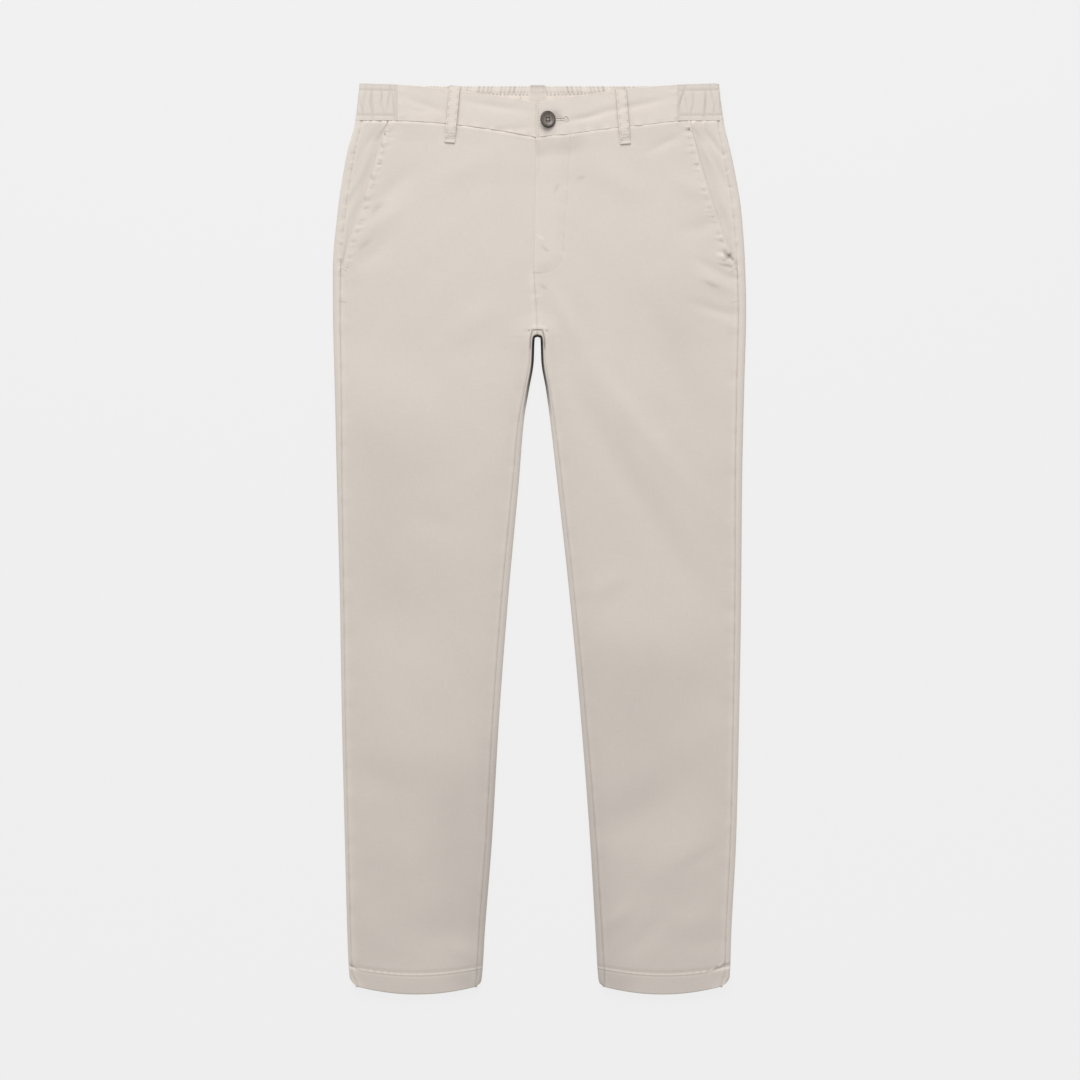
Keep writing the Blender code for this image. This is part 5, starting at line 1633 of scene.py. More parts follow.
@dataclass(frozen=True)
class BeltLoops:
    """The five belt loops: two in front, two at the side backs and one at the centre back."""

    lay: Lay = LAY
    width: float = 12.0
    cloth: float = 1.6
    crown: float = 0.3
    arch: float = 1.1
    clearance: float = 0.6
    back_length: float = 66.0
    back_x: float = 122.0
    foot_sink: float = 0.6
    centre_width: float = 16.5
    centre_bulge: float = 1.5
    centre_sink: float = 1.1
    centre_inside: float = 10.5
    centre_tuck: float = 0.7
    across: tuple[float, ...] = (-1.0, -0.985, -0.95, -0.9, -0.8, -0.66, -0.45, -0.2)

    def columns(self) -> Array:
        """Places across a loop, from -1 to 1, close together at its edges."""
        half = np.array(self.across)
        return np.concatenate([half, [0.0], -half[::-1]])

    def shares(self, ends: tuple[float, ...], count: int) -> Array:
        """Rows down a loop as shares of its length, close together at both ends."""
        close = np.array(ends)
        return np.concatenate([close, np.linspace(0.04, 0.96, count), 1.0 - close[::-1]])

    def front(self, side: Side) -> tuple[Sheet, Array]:
        """The middle sheet of a front loop, and the relief of its face."""
        lay, line = self.lay, FRONT_LOOPS[side]
        length = math.hypot(line.top_x - line.foot_x, line.top_y - line.foot_y)
        lean = (line.foot_x - line.top_x) / length
        level = math.sqrt(1.0 - lean**2)
        edge_y = float(lay.band_y(line.top_x, 1.0))
        foot_drop = lay.top - line.foot_y - float(lay.seam_dip(line.foot_x))
        face = float(lay.upper_face(side, line.foot_x, line.foot_y, foot_drop))
        share = self.shares((0.0, 0.003, 0.008, 0.015, 0.025), 90)[:, None]
        x = line.top_x + (line.foot_x - line.top_x) * share
        y = line.top_y + (line.foot_y - line.top_y) * share
        over = lay.band_face(side, x, np.minimum(y, edge_y)) + self.clearance
        z = over + (face + self.clearance - over) * ease((share - 0.7) / 0.2)
        z = z + self.arch * np.sin(np.pi * np.clip((share - 0.05) / 0.9, 0.0, 1.0)) ** 0.8
        z = z - self.foot_sink * ease((share - 0.86) / 0.1)
        z = z - 1.0 * ease((y - edge_y - 0.8) / 4.0)
        place = self.columns()[None]
        reach = place * self.width / 2
        crown = self.crown * (1.0 - place**4)
        points = np.dstack([x + reach * level, y + reach * lean, z + self.cloth / 2 + crown / 2])
        dots = 0.45 + 0.55 * np.sin(2.0 * math.pi * share * length / 3.0)
        sewn = -0.5 * bell(np.abs(reach) - 4.3, 0.5) * dots
        wave = 0.16 * np.sin(2 * np.pi * share * length / 9.0 + 2.0 * place) * ease(np.abs(place) * 2.0 - 0.6)
        folded = -0.1 * bell((share - 0.94) * length, 0.9)
        return Sheet(points, 8, (0.0, 0.0, 1.0), {}), sewn + wave + folded

    def strap(self, x: float, y: Array, z: Array, width: float) -> tuple[Sheet, Array]:
        """The middle sheet of a straight strap along a path in y and z, and the relief of its face."""
        reach = self.columns()[None] * width / 2
        y, z = np.broadcast_to(y[:, None], (len(y), reach.shape[1])), z[:, None]
        points = np.dstack([np.broadcast_to(x + reach, y.shape), y, np.broadcast_to(z, y.shape)])
        relief = -0.2 * bell(np.abs(reach) - (width / 2 - 1.8), 0.5) * np.ones_like(y)
        return Sheet(points, 8, (0.0, 0.0, -1.0), {}), relief

    def side_back(self, side: Side) -> tuple[Sheet, Array]:
        """A side back loop, pressed flat between the waistband and the ground."""
        y = self.lay.back_top - self.back_length * self.shares((0.0, 0.004, 0.01, 0.02), 20)
        return self.strap(side.sign * self.back_x, y, np.full(len(y), self.cloth / 2), self.width)

    def centre_back(self) -> tuple[Sheet, Array]:
        """The centre back loop, which turns over the band's top edge to its inside."""
        lay = self.lay
        top = lay.back_top + 0.1
        high = lay.loop_lift + lay.band_cloth - self.centre_sink
        middle = (high + self.cloth) / 2
        half = middle - self.cloth / 2
        share = np.concatenate([[1.0, 0.997, 0.99, 0.98], np.linspace(0.96, 0.02, 22)])
        turn = np.linspace(0.0, math.pi, 16)
        inside = self.centre_inside * np.array([0.15, 0.4, 0.65, 0.85, 0.93, 0.97, 0.99, 1.0])
        bulge = self.centre_bulge - self.cloth / 2
        y = np.concatenate([top - self.back_length * share, top + bulge * np.sin(turn), top - inside])
        tucked = self.centre_tuck * ease((inside / self.centre_inside - 0.5) / 0.5)
        z = [np.full(len(share), middle - half), middle - half * np.cos(turn), middle + half - tucked]
        return self.strap(lay.centre, y, np.concatenate(z), self.centre_width)

    def build(self, surface: Surface) -> list["Piece"]:
        """Makes the five loops.

        Args:
            surface: Cloth on which thread is laid later, to which the loops are added.

        Returns:
            The pieces, not yet finished.
        """
        made = []
        for side in Side:
            made.append((f"belt_loop_front_{side.word}", *self.front(side)))
            made.append((f"belt_loop_back_{side.word}", *self.side_back(side)))
        made.append(("belt_loop_back_centre", *self.centre_back()))
        pieces = []
        for name, sheet, relief in made:
            # painted shade at the top end of each loop and in its hollows; each loop is also made lighter
            # over its lower part
            top = sheet.points[..., 1].max() - sheet.points[..., 1]
            lower = 0.6 * ease((top / top.max() - 0.5) / 0.25)
            sheet.marks["crease"] = painted_relief_shading(relief, 0.35) - 2.6 * bell(top, 2.6) + lower
            thing = pad_of(f"{name}_cloth", sheet, self.cloth, relief, np.zeros_like(relief))
            surface.add(sheet.moved(relief + self.cloth / 2).points)
            pieces.append(Piece(thing, name, "folded", sheet.cut()))
        return pieces


# ---- button


@dataclass(frozen=True)
class WaistButton:
    """The four-hole button with its dished middle and rolled rim, tilted on its shank."""

    x: float = 9.2
    y: float = 481.4
    radius: float = 10.0
    size: float = 0.99
    narrow: float = 0.925
    tilt: float = math.radians(18)
    turn: float = math.radians(6)
    hole_radius: float = 1.0
    hole_spacing: float = 3.8
    well_radius: float = 4.2
    well_height: float = 1.6
    clearance: float = 0.35
    sink: float = 2.3
    sides: int = 72
    sharp: float = math.radians(38)
    wear: float = 0.16
    rings: tuple[Ring, ...] = table(
        Ring,
        (4.6, 1.68), (5.2, 1.95), (6.0, 2.45), (7.0, 2.85), (8.0, 3.0), (8.8, 2.92), (9.5, 2.6),
        (9.92, 2.1), (10.0, 1.6), (9.85, 1.0), (9.3, 0.5), (8.3, 0.18), (7.0, 0.0),
    )

    def place(self) -> Matrix:
        """The button's place over the waistband, in millimetres."""
        over = float(LAY.band_face(Side.LEFT, self.x, self.y)) + self.clearance
        rise = self.radius * math.sin(self.tilt) - self.sink
        leaned = Matrix.Rotation(self.turn, 4, "Z") @ Matrix.Rotation(self.tilt, 4, "Y")
        sized = Matrix.Diagonal((self.narrow * self.size, self.size, self.size, 1.0))
        return Matrix.Translation((self.x, self.y, over + rise)) @ leaned @ sized

    def holes(self) -> list[tuple[float, float]]:
        """Middles of the four sewing holes."""
        reach = self.hole_spacing / math.sqrt(2)
        angles = [math.radians(45 + 90 * i) for i in range(4)]
        return [(reach * math.cos(angle), reach * math.sin(angle)) for angle in angles]

    def circle(self, made: bmesh.types.BMesh, at: tuple, radius: float, sides: int) -> list:
        """Adds a ring of edges round a point and returns them."""
        where = Matrix.Translation(at)
        ring = bmesh.ops.create_circle(made, cap_ends=False, radius=radius, segments=sides, matrix=where)
        return list({side for vert in ring["verts"] for side in vert.link_edges})

    def marks(self, local: Array) -> dict[str, Array]:
        """Values for the finish: painted shade in the holes and on the rim, most at its top and bottom, and
        painted light round the well.
        """
        radius = np.maximum(np.hypot(local[:, 0], local[:, 1]), 0.1)
        upright = (local[:, 1] / radius) ** 2
        # painted shade on the rim, strongest at its top and bottom
        dark = ease((radius - 7.4) / 2.2) * (0.35 + 0.65 * upright)
        for x, y in self.holes():
            wall = np.abs(np.hypot(local[:, 0] - x, local[:, 1] - y) - self.hole_radius) < 0.05
            dark = np.where(wall, np.where(local[:, 2] < 0.5 * self.well_height, 6.0, 0.0), dark)
        return {"dark": dark, "pale": bell(radius - 4.4, 1.7)}

    def build(self) -> Thing:
        """Makes the button.

        Returns:
            The button's object.
        """
        made = bmesh.new()
        rims, walls = {}, {}
        for level, z in (("top", self.well_height), ("foot", 0.0)):
            radius = self.well_radius if level == "top" else self.rings[-1].radius
            rims[level] = self.circle(made, (0.0, 0.0, z), radius, self.sides)
            walls[level] = [self.circle(made, (*hole, z), self.hole_radius, 20) for hole in self.holes()]
            sides = rims[level] + [side for wall in walls[level] for side in wall]
            bmesh.ops.triangle_fill(made, use_beauty=True, use_dissolve=False, edges=sides)
        for upper, lower in zip(walls["top"], walls["foot"]):
            bmesh.ops.bridge_loops(made, edges=upper + lower)
        last = rims["top"]
        for ring in self.rings[:-1]:
            grown = bmesh.ops.extrude_edge_only(made, edges=last)["geom"]
            verts = [part for part in grown if isinstance(part, bmesh.types.BMVert)]
            for vert in verts:
                flat = Vector((vert.co.x, vert.co.y)).normalized() * ring.radius
                vert.co = (flat.x, flat.y, ring.height)
            last = [part for part in grown if isinstance(part, bmesh.types.BMEdge)]
        bmesh.ops.bridge_loops(made, edges=last + rims["foot"])
        bmesh.ops.remove_doubles(made, verts=made.verts, dist=0.001)
        bmesh.ops.recalc_face_normals(made, faces=made.faces)
        local = np.array([vert.co for vert in made.verts])
        made.transform(Matrix.Scale(MM, 4) @ self.place())
        mesh = mesh_of("waist_button", made)
        for mark, values in self.marks(local).items():
            add_mark(mesh, mark, values)
        mesh.set_sharp_from_angle(angle=self.sharp)
        thing = linked("waist_button", mesh)
        soft = thing.modifiers.new("worn_edges", "BEVEL")
        soft.width, soft.segments, soft.limit_method = self.wear * MM, 2, "ANGLE"
        soft.angle_limit = self.sharp
        return thing


# ---- sewing


@dataclass(frozen=True)
class Stitch:
    """One visible stitch of a sewn line, in millimetres."""

    length: float = 2.2
    pitch: float = 2.9
    width: float = 0.5
    height: float = 0.42
    sink: float = 0.06


TOPSTITCH = Stitch()
FINE_STITCH = Stitch(length=1.7, pitch=2.5, width=0.5, height=0.36)
BAR_STITCH = Stitch(length=2.0, pitch=0.5, width=0.46, height=0.5)
HOLE_STITCH = Stitch(length=1.7, pitch=0.55, width=0.5, height=0.4)


class Sewing:
    """Stitches of one kind of thread, laid on the cloth and joined in one mesh."""

    def __init__(self, name: str, surface: Surface) -> None:
        """Starts with no stitches.

        Args:
            name: Name of the piece.
            surface: Cloth that the stitches lie on.
        """
        self.name, self.surface = name, surface
        self.frames: list[Array] = []
        self.chance = np.random.default_rng(len(name))

    def add(self, place: Array, along: Array, normal: Array, stitch: Stitch, stretch: float = 1.0) -> None:
        """Adds one stitch.

        Args:
            place: Middle of the stitch, on the cloth.
            along: Way that it runs.
            normal: Normal of the cloth.
            stitch: Its sizes.
            stretch: Share of its usual length.
        """
        along = along - normal * np.dot(along, normal)
        along = along / max(float(np.linalg.norm(along)), 1e-9)
        aside = np.cross(normal, along)
        frame4 = np.eye(4)
        frame4[:3, 0] = along * stitch.length * stretch
        frame4[:3, 1] = aside * stitch.width
        frame4[:3, 2] = normal * stitch.height
        frame4[:3, 3] = place - normal * stitch.sink
        self.frames.append(frame4)

    def line(self, line: Array, stitch: Stitch = TOPSTITCH, above: bool = True) -> None:
        """Sews along a plan line.

        Args:
            line: Points of the line.
            stitch: Sizes of its stitches.
            above: Whether it shows from above.
        """
        places, ways = spaced(line, stitch.pitch)
        spots, normals = self.surface.lay(places, above)
        if len(spots) != len(places):
            log.warning("%s: %d stitches miss the cloth", self.name, len(places) - len(spots))
            return
        lifts = np.gradient(spots[:, 2]) / stitch.pitch if len(spots) > 1 else np.zeros(len(spots))
        for spot, way, lift, normal in zip(spots, ways, lifts, normals):
            turn = self.chance.uniform(-0.07, 0.07)
            tilted = np.array([way[0] - turn * way[1], way[1] + turn * way[0], lift])
            self.add(spot, tilted, normal, stitch, self.chance.uniform(0.9, 1.06))

    def bar(self, at: Array, length: float, width: float, angle: float, above: bool = True) -> None:
        """Sews a bar-tack: a short dense row of stitches that lie across it.

        Args:
            at: Middle of the bar.
            length: Its length.
            width: Its width, which is the stitches' length.
            angle: Way that it runs, in radians.
            above: Whether it shows from above.
        """
        way = np.array([math.cos(angle), math.sin(angle)])
        count = round(length / BAR_STITCH.pitch) + 1
        places = np.array(at) + np.linspace(-0.5, 0.5, count)[:, None] * length * way
        spots, normals = self.surface.lay(places, above)
        for i, (spot, normal) in enumerate(zip(spots, normals)):
            lean = 0.22 if i % 2 else -0.22
            across = np.array([-way[1] + lean * way[0], way[0] + lean * way[1], 0.0])
            self.add(spot, across, normal, BAR_STITCH, width / BAR_STITCH.length)

    def build(self) -> Thing:
        """Joins the stitches in one mesh.

        Returns:
            The new object.
        """
        seed = bmesh.new()
        bmesh.ops.create_uvsphere(seed, u_segments=6, v_segments=5, radius=0.5)
        seed.transform(Matrix.Rotation(math.radians(90), 4, "Y"))
        bmesh.ops.recalc_face_normals(seed, faces=seed.faces)
        seed.verts.index_update()
        corners = np.array([[*vert.co, 1.0] for vert in seed.verts])
        faces = [[vert.index for vert in face.verts] for face in seed.faces]
        seed.free()
        frames = np.array(self.frames)
        places = np.einsum("nij,kj->nki", frames, corners)[..., :3].reshape(-1, 3) * MM
        step = len(corners)
        made = [[vert + step * i for vert in face] for i in range(len(frames)) for face in faces]
        mesh = bpy.data.meshes.new(self.name)
        mesh.from_pydata(places.tolist(), [], made)
        lengths = np.linalg.norm(frames[:, :3, 0], axis=1)
        along = (corners[None, :, 0] * lengths[:, None] + np.arange(len(frames))[:, None] * 3.1).ravel()
        around = np.tile(np.arctan2(corners[:, 2], corners[:, 1]), len(frames)) * 0.2
        add_flat_map(mesh, plan(along, around) * MM)
        mesh.shade_smooth()
        return linked(self.name, mesh)


# ---- finishes


class Wiring:
    """Adds nodes to a tree and joins them."""

    def __init__(self, tree: bpy.types.NodeTree) -> None:
        """Works on a tree."""
        self.tree = tree

    def fill(self, node: bpy.types.Node, values: dict) -> bpy.types.Node:
        """Links sockets or sets plain values on a node's inputs, by their name or number."""
        for name, value in values.items():
            if isinstance(value, Socket):
                self.tree.links.new(value, node.inputs[name])
            else:
                node.inputs[name].default_value = value
        return node

    def node(self, kind: str, values: dict | None = None, **settings) -> bpy.types.Node:
        """Adds a node.

        Args:
            kind: Type name of the node.
            values: Sockets or plain values for its inputs, by input name or number.
            settings: Attributes of the node.

        Returns:
            The node.
        """
        made = self.tree.nodes.new(kind)
        for name, value in settings.items():
            setattr(made, name, value)
        return self.fill(made, values or {})

    def math(self, operation: str, first, second=0.0, third=0.0) -> Socket:
        """Adds a Math node and returns its result."""
        return self.node("ShaderNodeMath", {0: first, 1: second, 2: third}, operation=operation).outputs[0]

    def added(self, start, *parts: tuple) -> Socket:
        """Adds parts to a start, each a value and its factor."""
        for value, factor in parts:
            start = self.math("MULTIPLY_ADD", value, factor, start)
        return start

    def wave(self, turns) -> Socket:
        """The sine of a number of turns."""
        return self.math("SINE", self.math("MULTIPLY", turns, 2 * math.pi))

    def noise(self, place, scale: float, detail: float = 2.0, rough: float = 0.5) -> Socket:
        """Adds a Noise node and returns its factor less a half."""
        values = {"Vector": place, "Scale": scale, "Detail": detail, "Roughness": rough}
        return self.math("SUBTRACT", self.node("ShaderNodeTexNoise", values).outputs["Fac"], 0.5)

    def scaled(self, vector, factor) -> Socket:
        """A vector or colour times a factor."""
        return self.node("ShaderNodeVectorMath", {0: vector, "Scale": factor}, operation="SCALE").outputs[0]

    def mixed(self, share, first, second) -> Socket:
        """A colour between two, at a share of the way."""
        return self.node("ShaderNodeMix", {0: share, 6: first, 7: second}, data_type="RGBA").outputs[2]

    def mark(self, name: str) -> Socket:
        """A mark that the mesh holds at its vertices."""
        return self.node("ShaderNodeAttribute", attribute_name=name).outputs["Fac"]

    def group(self, tree: bpy.types.NodeTree, values: dict) -> bpy.types.NodeOutputs:
        """Adds a group's node and returns its outputs."""
        return self.node("ShaderNodeGroup", values, node_tree=tree).outputs

    def give(self, results: dict[str, Socket]) -> bpy.types.NodeTree:
        """Ends a group with its results by name, and returns it."""
        for label in results:
            kind = "Color" if label == "Colour" else "Float"
            self.tree.interface.new_socket(label, in_out="OUTPUT", socket_type=f"NodeSocket{kind}")
        self.node("NodeGroupOutput", results)
        return self.tree

    def coat(self, shader: bpy.types.Node, colour, roughness, bump: tuple, plain: dict) -> None:
        """Joins a finish to its shader.

        Args:
            shader: The Principled shader.
            colour: Socket of the colour.
            roughness: Socket of the roughness.
            bump: Socket of the height, the bump's strength and its distance in metres.
            plain: Values of the shader's other inputs.
        """
        values = dict(zip(("Height", "Strength", "Distance"), bump))
        normal = self.node("ShaderNodeBump", values).outputs[0]
        self.fill(shader, {"Base Color": colour, "Roughness": roughness, "Normal": normal, **plain})


def new_group(name: str, inputs: dict[str, tuple]) -> tuple[Wiring, dict[str, Socket]]:
    """Starts a shader node group.

    Args:
        name: Name of the group.
        inputs: Socket kind and starting value of each input, by its name.

    Returns:
        The group's wiring, and its inputs by name.
    """
    wire = Wiring(bpy.data.node_groups.new(name, "ShaderNodeTree"))
    for label, (kind, value) in {"Place": ("Vector", None), **inputs}.items():
        socket = wire.tree.interface.new_socket(label, in_out="INPUT", socket_type=f"NodeSocket{kind}")
        if value is not None:
            socket.default_value = value
    return wire, {socket.name: socket for socket in wire.node("NodeGroupInput").outputs if socket.name}


def twill_weave() -> bpy.types.NodeTree:
    """The group that draws the slanting wales and the threads of a twill weave."""
    inputs = {"Line Angle": ("Float", 1.1), "Pitch": ("Float", 0.0008)}
    wire, given = new_group("twill_weave", inputs)
    turning = {"Vector": given["Place"], "Angle": given["Line Angle"]}
    turned = wire.node("ShaderNodeVectorRotate", turning, rotation_type="Z_AXIS").outputs[0]
    wales = wire.scaled(turned, wire.math("DIVIDE", 1.0, given["Pitch"]))
    wobble = wire.noise(given["Place"], 260.0)
    parts = wire.node("ShaderNodeSeparateXYZ", {0: wales}).outputs
    across = wire.math("ADD", parts["X"], wire.math("MULTIPLY", wobble, 1.6))
    shift = wire.math("MULTIPLY", wire.math("FLOOR", across), 0.5)
    thread = wire.wave(wire.added(shift, (parts["Y"], 1.2)))
    fuzz = wire.noise(given["Place"], 5200.0)
    height = wire.added(0.5, (wire.wave(across), 0.36), (thread, 0.14), (fuzz, 0.35))
    return wire.give({"Height": height, "Tone": wire.math("SUBTRACT", height, 0.5)})


def cloth_tone() -> bpy.types.NodeTree:
    """The group that makes a cloth's colour uneven: slubs, soft mottling and weave, with the painted shade
    and light of the crease mark.
    """
    inputs = {"Colour": ("Color", (0.6, 0.5, 0.4, 1.0)), "Weave": ("Float", 0.0)}
    inputs |= {"Crease": ("Float", 0.0), "Mottle": ("Float", 1.0)}
    wire, given = new_group("cloth_tone", inputs)
    place = given["Place"]
    broad, small = wire.noise(place, 24.0, 3.0), wire.noise(place, 330.0, 2.0, 0.6)
    slubs = []
    for scale, density in (((1.0, 0.12, 1.0), 900.0), ((0.1, 1.0, 1.0), 760.0)):
        drawn = wire.node("ShaderNodeMapping", {"Vector": place, "Scale": scale}).outputs[0]
        slubs.append(wire.noise(drawn, density))
    mottle = wire.math("MULTIPLY", broad, 0.05)
    mottle = wire.added(mottle, (small, 0.05), (slubs[0], 0.06), (slubs[1], 0.045))
    # the crease input adds painted shade and painted light
    shade = wire.added(1.0, (mottle, given["Mottle"]), (given["Weave"], 0.06), (given["Crease"], 0.12))
    toned = wire.scaled(given["Colour"], shade)
    return wire.give({"Colour": toned, "Roughness": wire.added(0.9, (small, 0.16))})


def thread_twist() -> bpy.types.NodeTree:
    """The group that draws the plies of a twisted thread."""
    wire, given = new_group("thread_twist", {"Turns": ("Float", 1500.0)})
    parts = wire.node("ShaderNodeSeparateXYZ", {0: given["Place"]}).outputs
    slant = wire.math("ADD", parts["X"], wire.math("MULTIPLY", parts["Y"], 0.8))
    turns = wire.math("MULTIPLY", given["Turns"], 2 * math.pi)
    ply = wire.math("SINE", wire.math("MULTIPLY", slant, turns))
    height = wire.added(0.5, (wire.noise(given["Place"], 4000.0), 0.4), (ply, 0.4))
    return wire.give({"Height": height, "Tone": wire.math("SUBTRACT", height, 0.5)})


def horn_marble() -> bpy.types.NodeTree:
    """The group that draws the streaked, cloudy colour of polished horn."""
    inputs = {"Dark": ("Color", (0.05, 0.04, 0.03, 1.0)), "Light": ("Color", (0.2, 0.17, 0.15, 1.0))}
    wire, given = new_group("horn_marble", inputs)
    drawn = {"Vector": given["Place"], "Rotation": (0.0, 0.0, 0.7), "Scale": (1.0, 0.3, 1.0)}
    cloudy = {"Vector": wire.node("ShaderNodeMapping", drawn).outputs[0], "Scale": 420.0}
    cloudy |= {"Detail": 4.0, "Roughness": 0.6, "Distortion": 1.2}
    cloud = wire.node("ShaderNodeTexNoise", cloudy).outputs["Fac"]
    fleck = wire.noise(given["Place"], 1900.0)
    share = wire.node("ShaderNodeClamp", {0: wire.added(-0.72, (cloud, 2.4), (fleck, 0.5))}).outputs[0]
    colour = wire.mixed(share, given["Dark"], given["Light"])
    return wire.give({"Colour": colour, "Roughness": wire.added(0.4, (fleck, 0.2)), "Height": fleck})


class Groups:
    """The shader node groups, each built once."""

    def __init__(self) -> None:
        """Builds every group."""
        self.weave, self.tone = twill_weave(), cloth_tone()
        self.twist, self.horn = thread_twist(), horn_marble()


def new_material(name: str) -> tuple[bpy.types.Material, Wiring, bpy.types.Node]:
    """Starts a material with a Principled shader.

    Args:
        name: Name of the material.

    Returns:
        The material, its wiring and its shader.
    """
    material = bpy.data.materials.new(name)
    material.use_nodes = True
    return material, Wiring(material.node_tree), material.node_tree.nodes["Principled BSDF"]


@dataclass(frozen=True)
class ClothFinish:
    """Brushed cotton twill, with its wales' pitch in metres."""

    colour: Colour = (0.684, 0.620, 0.561)
    pitch: float = 0.0007
    weave: float = 0.25
    # strength of the painted shade and light from the crease mark
    crease: float = 1.0
    mottle: float = 1.0
    sheen: float = 0.12

    def material(self, name: str, grain: Grain, groups: Groups) -> bpy.types.Material:
        """Makes the material.

        Args:
            name: Name of the material.
            grain: Way that the warp runs.
            groups: The shader node groups.

        Returns:
            The material.
        """
        made, wire, shader = new_material(name)
        place = wire.node("ShaderNodeUVMap", uv_map=FLAT_MAP).outputs[0]
        # painted shade and light, read from the crease mark
        crease = wire.math("MULTIPLY", wire.mark("crease"), self.crease)
        lines = {"Place": place, "Line Angle": math.radians(grain.value), "Pitch": self.pitch}
        weave = wire.group(groups.weave, lines)
        tones = {"Place": place, "Colour": (*self.colour, 1.0), "Mottle": self.mottle}
        tone = wire.group(groups.tone, {**tones, "Weave": weave["Tone"], "Crease": crease})
        bump = (weave["Height"], self.weave, 0.00018)
        nap = {"Sheen Weight": self.sheen, "Sheen Roughness": 0.6, "Specular IOR Level": 0.18}
        wire.coat(shader, tone["Colour"], tone["Roughness"], bump, nap)
        return made


@dataclass(frozen=True)
class ThreadFinish:
    """Twisted sewing thread, with its turns in a metre."""

    colour: Colour
    turns: float = 1500.0

    def material(self, name: str, groups: Groups) -> bpy.types.Material:
        """Makes the material.

        Args:
            name: Name of the material.
            groups: The shader node groups.

        Returns:
            The material.
        """
        made, wire, shader = new_material(name)
        place = wire.node("ShaderNodeUVMap", uv_map=FLAT_MAP).outputs[0]
        twist = wire.group(groups.twist, {"Place": place, "Turns": self.turns})
        tones = {"Place": place, "Colour": (*self.colour, 1.0), "Weave": twist["Tone"]}
        tone = wire.group(groups.tone, tones)
        bump = (twist["Height"], 0.5, 0.0001)
        wire.coat(shader, tone["Colour"], tone["Roughness"], bump, {"Sheen Weight": 0.1})
        return made


@dataclass(frozen=True)
class HornFinish:
    """Dark streaked horn with a worn polish, with painted shade in its holes and on its rim and painted light
    round its well.
    """

    dark: Colour = (0.060, 0.046, 0.036)
    light: Colour = (0.185, 0.152, 0.130)
    # colour of the painted shade in the holes and on the rim, then colour of the painted light round the well
    rim: Colour = (0.014, 0.010, 0.008)
    pale: Colour = (0.265, 0.232, 0.205)

    def material(self, name: str, groups: Groups) -> bpy.types.Material:
        """Makes the material.

        Args:
            name: Name of the material.
            groups: The shader node groups.

        Returns:
            The material.
        """
        made, wire, shader = new_material(name)
        place = wire.node("ShaderNodeTexCoord").outputs["Object"]
        # painted shade from the dark mark, painted light from the pale mark
        dark = wire.node("ShaderNodeClamp", {0: wire.mark("dark")}).outputs[0]
        colours = {"Dark": (*self.dark, 1.0), "Light": (*self.light, 1.0)}
        horn = wire.group(groups.horn, {"Place": place, **colours})
        pale = wire.math("MULTIPLY", wire.mark("pale"), 0.6)
        colour = wire.mixed(dark, wire.mixed(pale, horn["Colour"], (*self.pale, 1.0)), (*self.rim, 1.0))
        wire.coat(shader, colour, horn["Roughness"], (horn["Height"], 0.2, 0.0001), {})
        return made


# ---- sewing of the garment


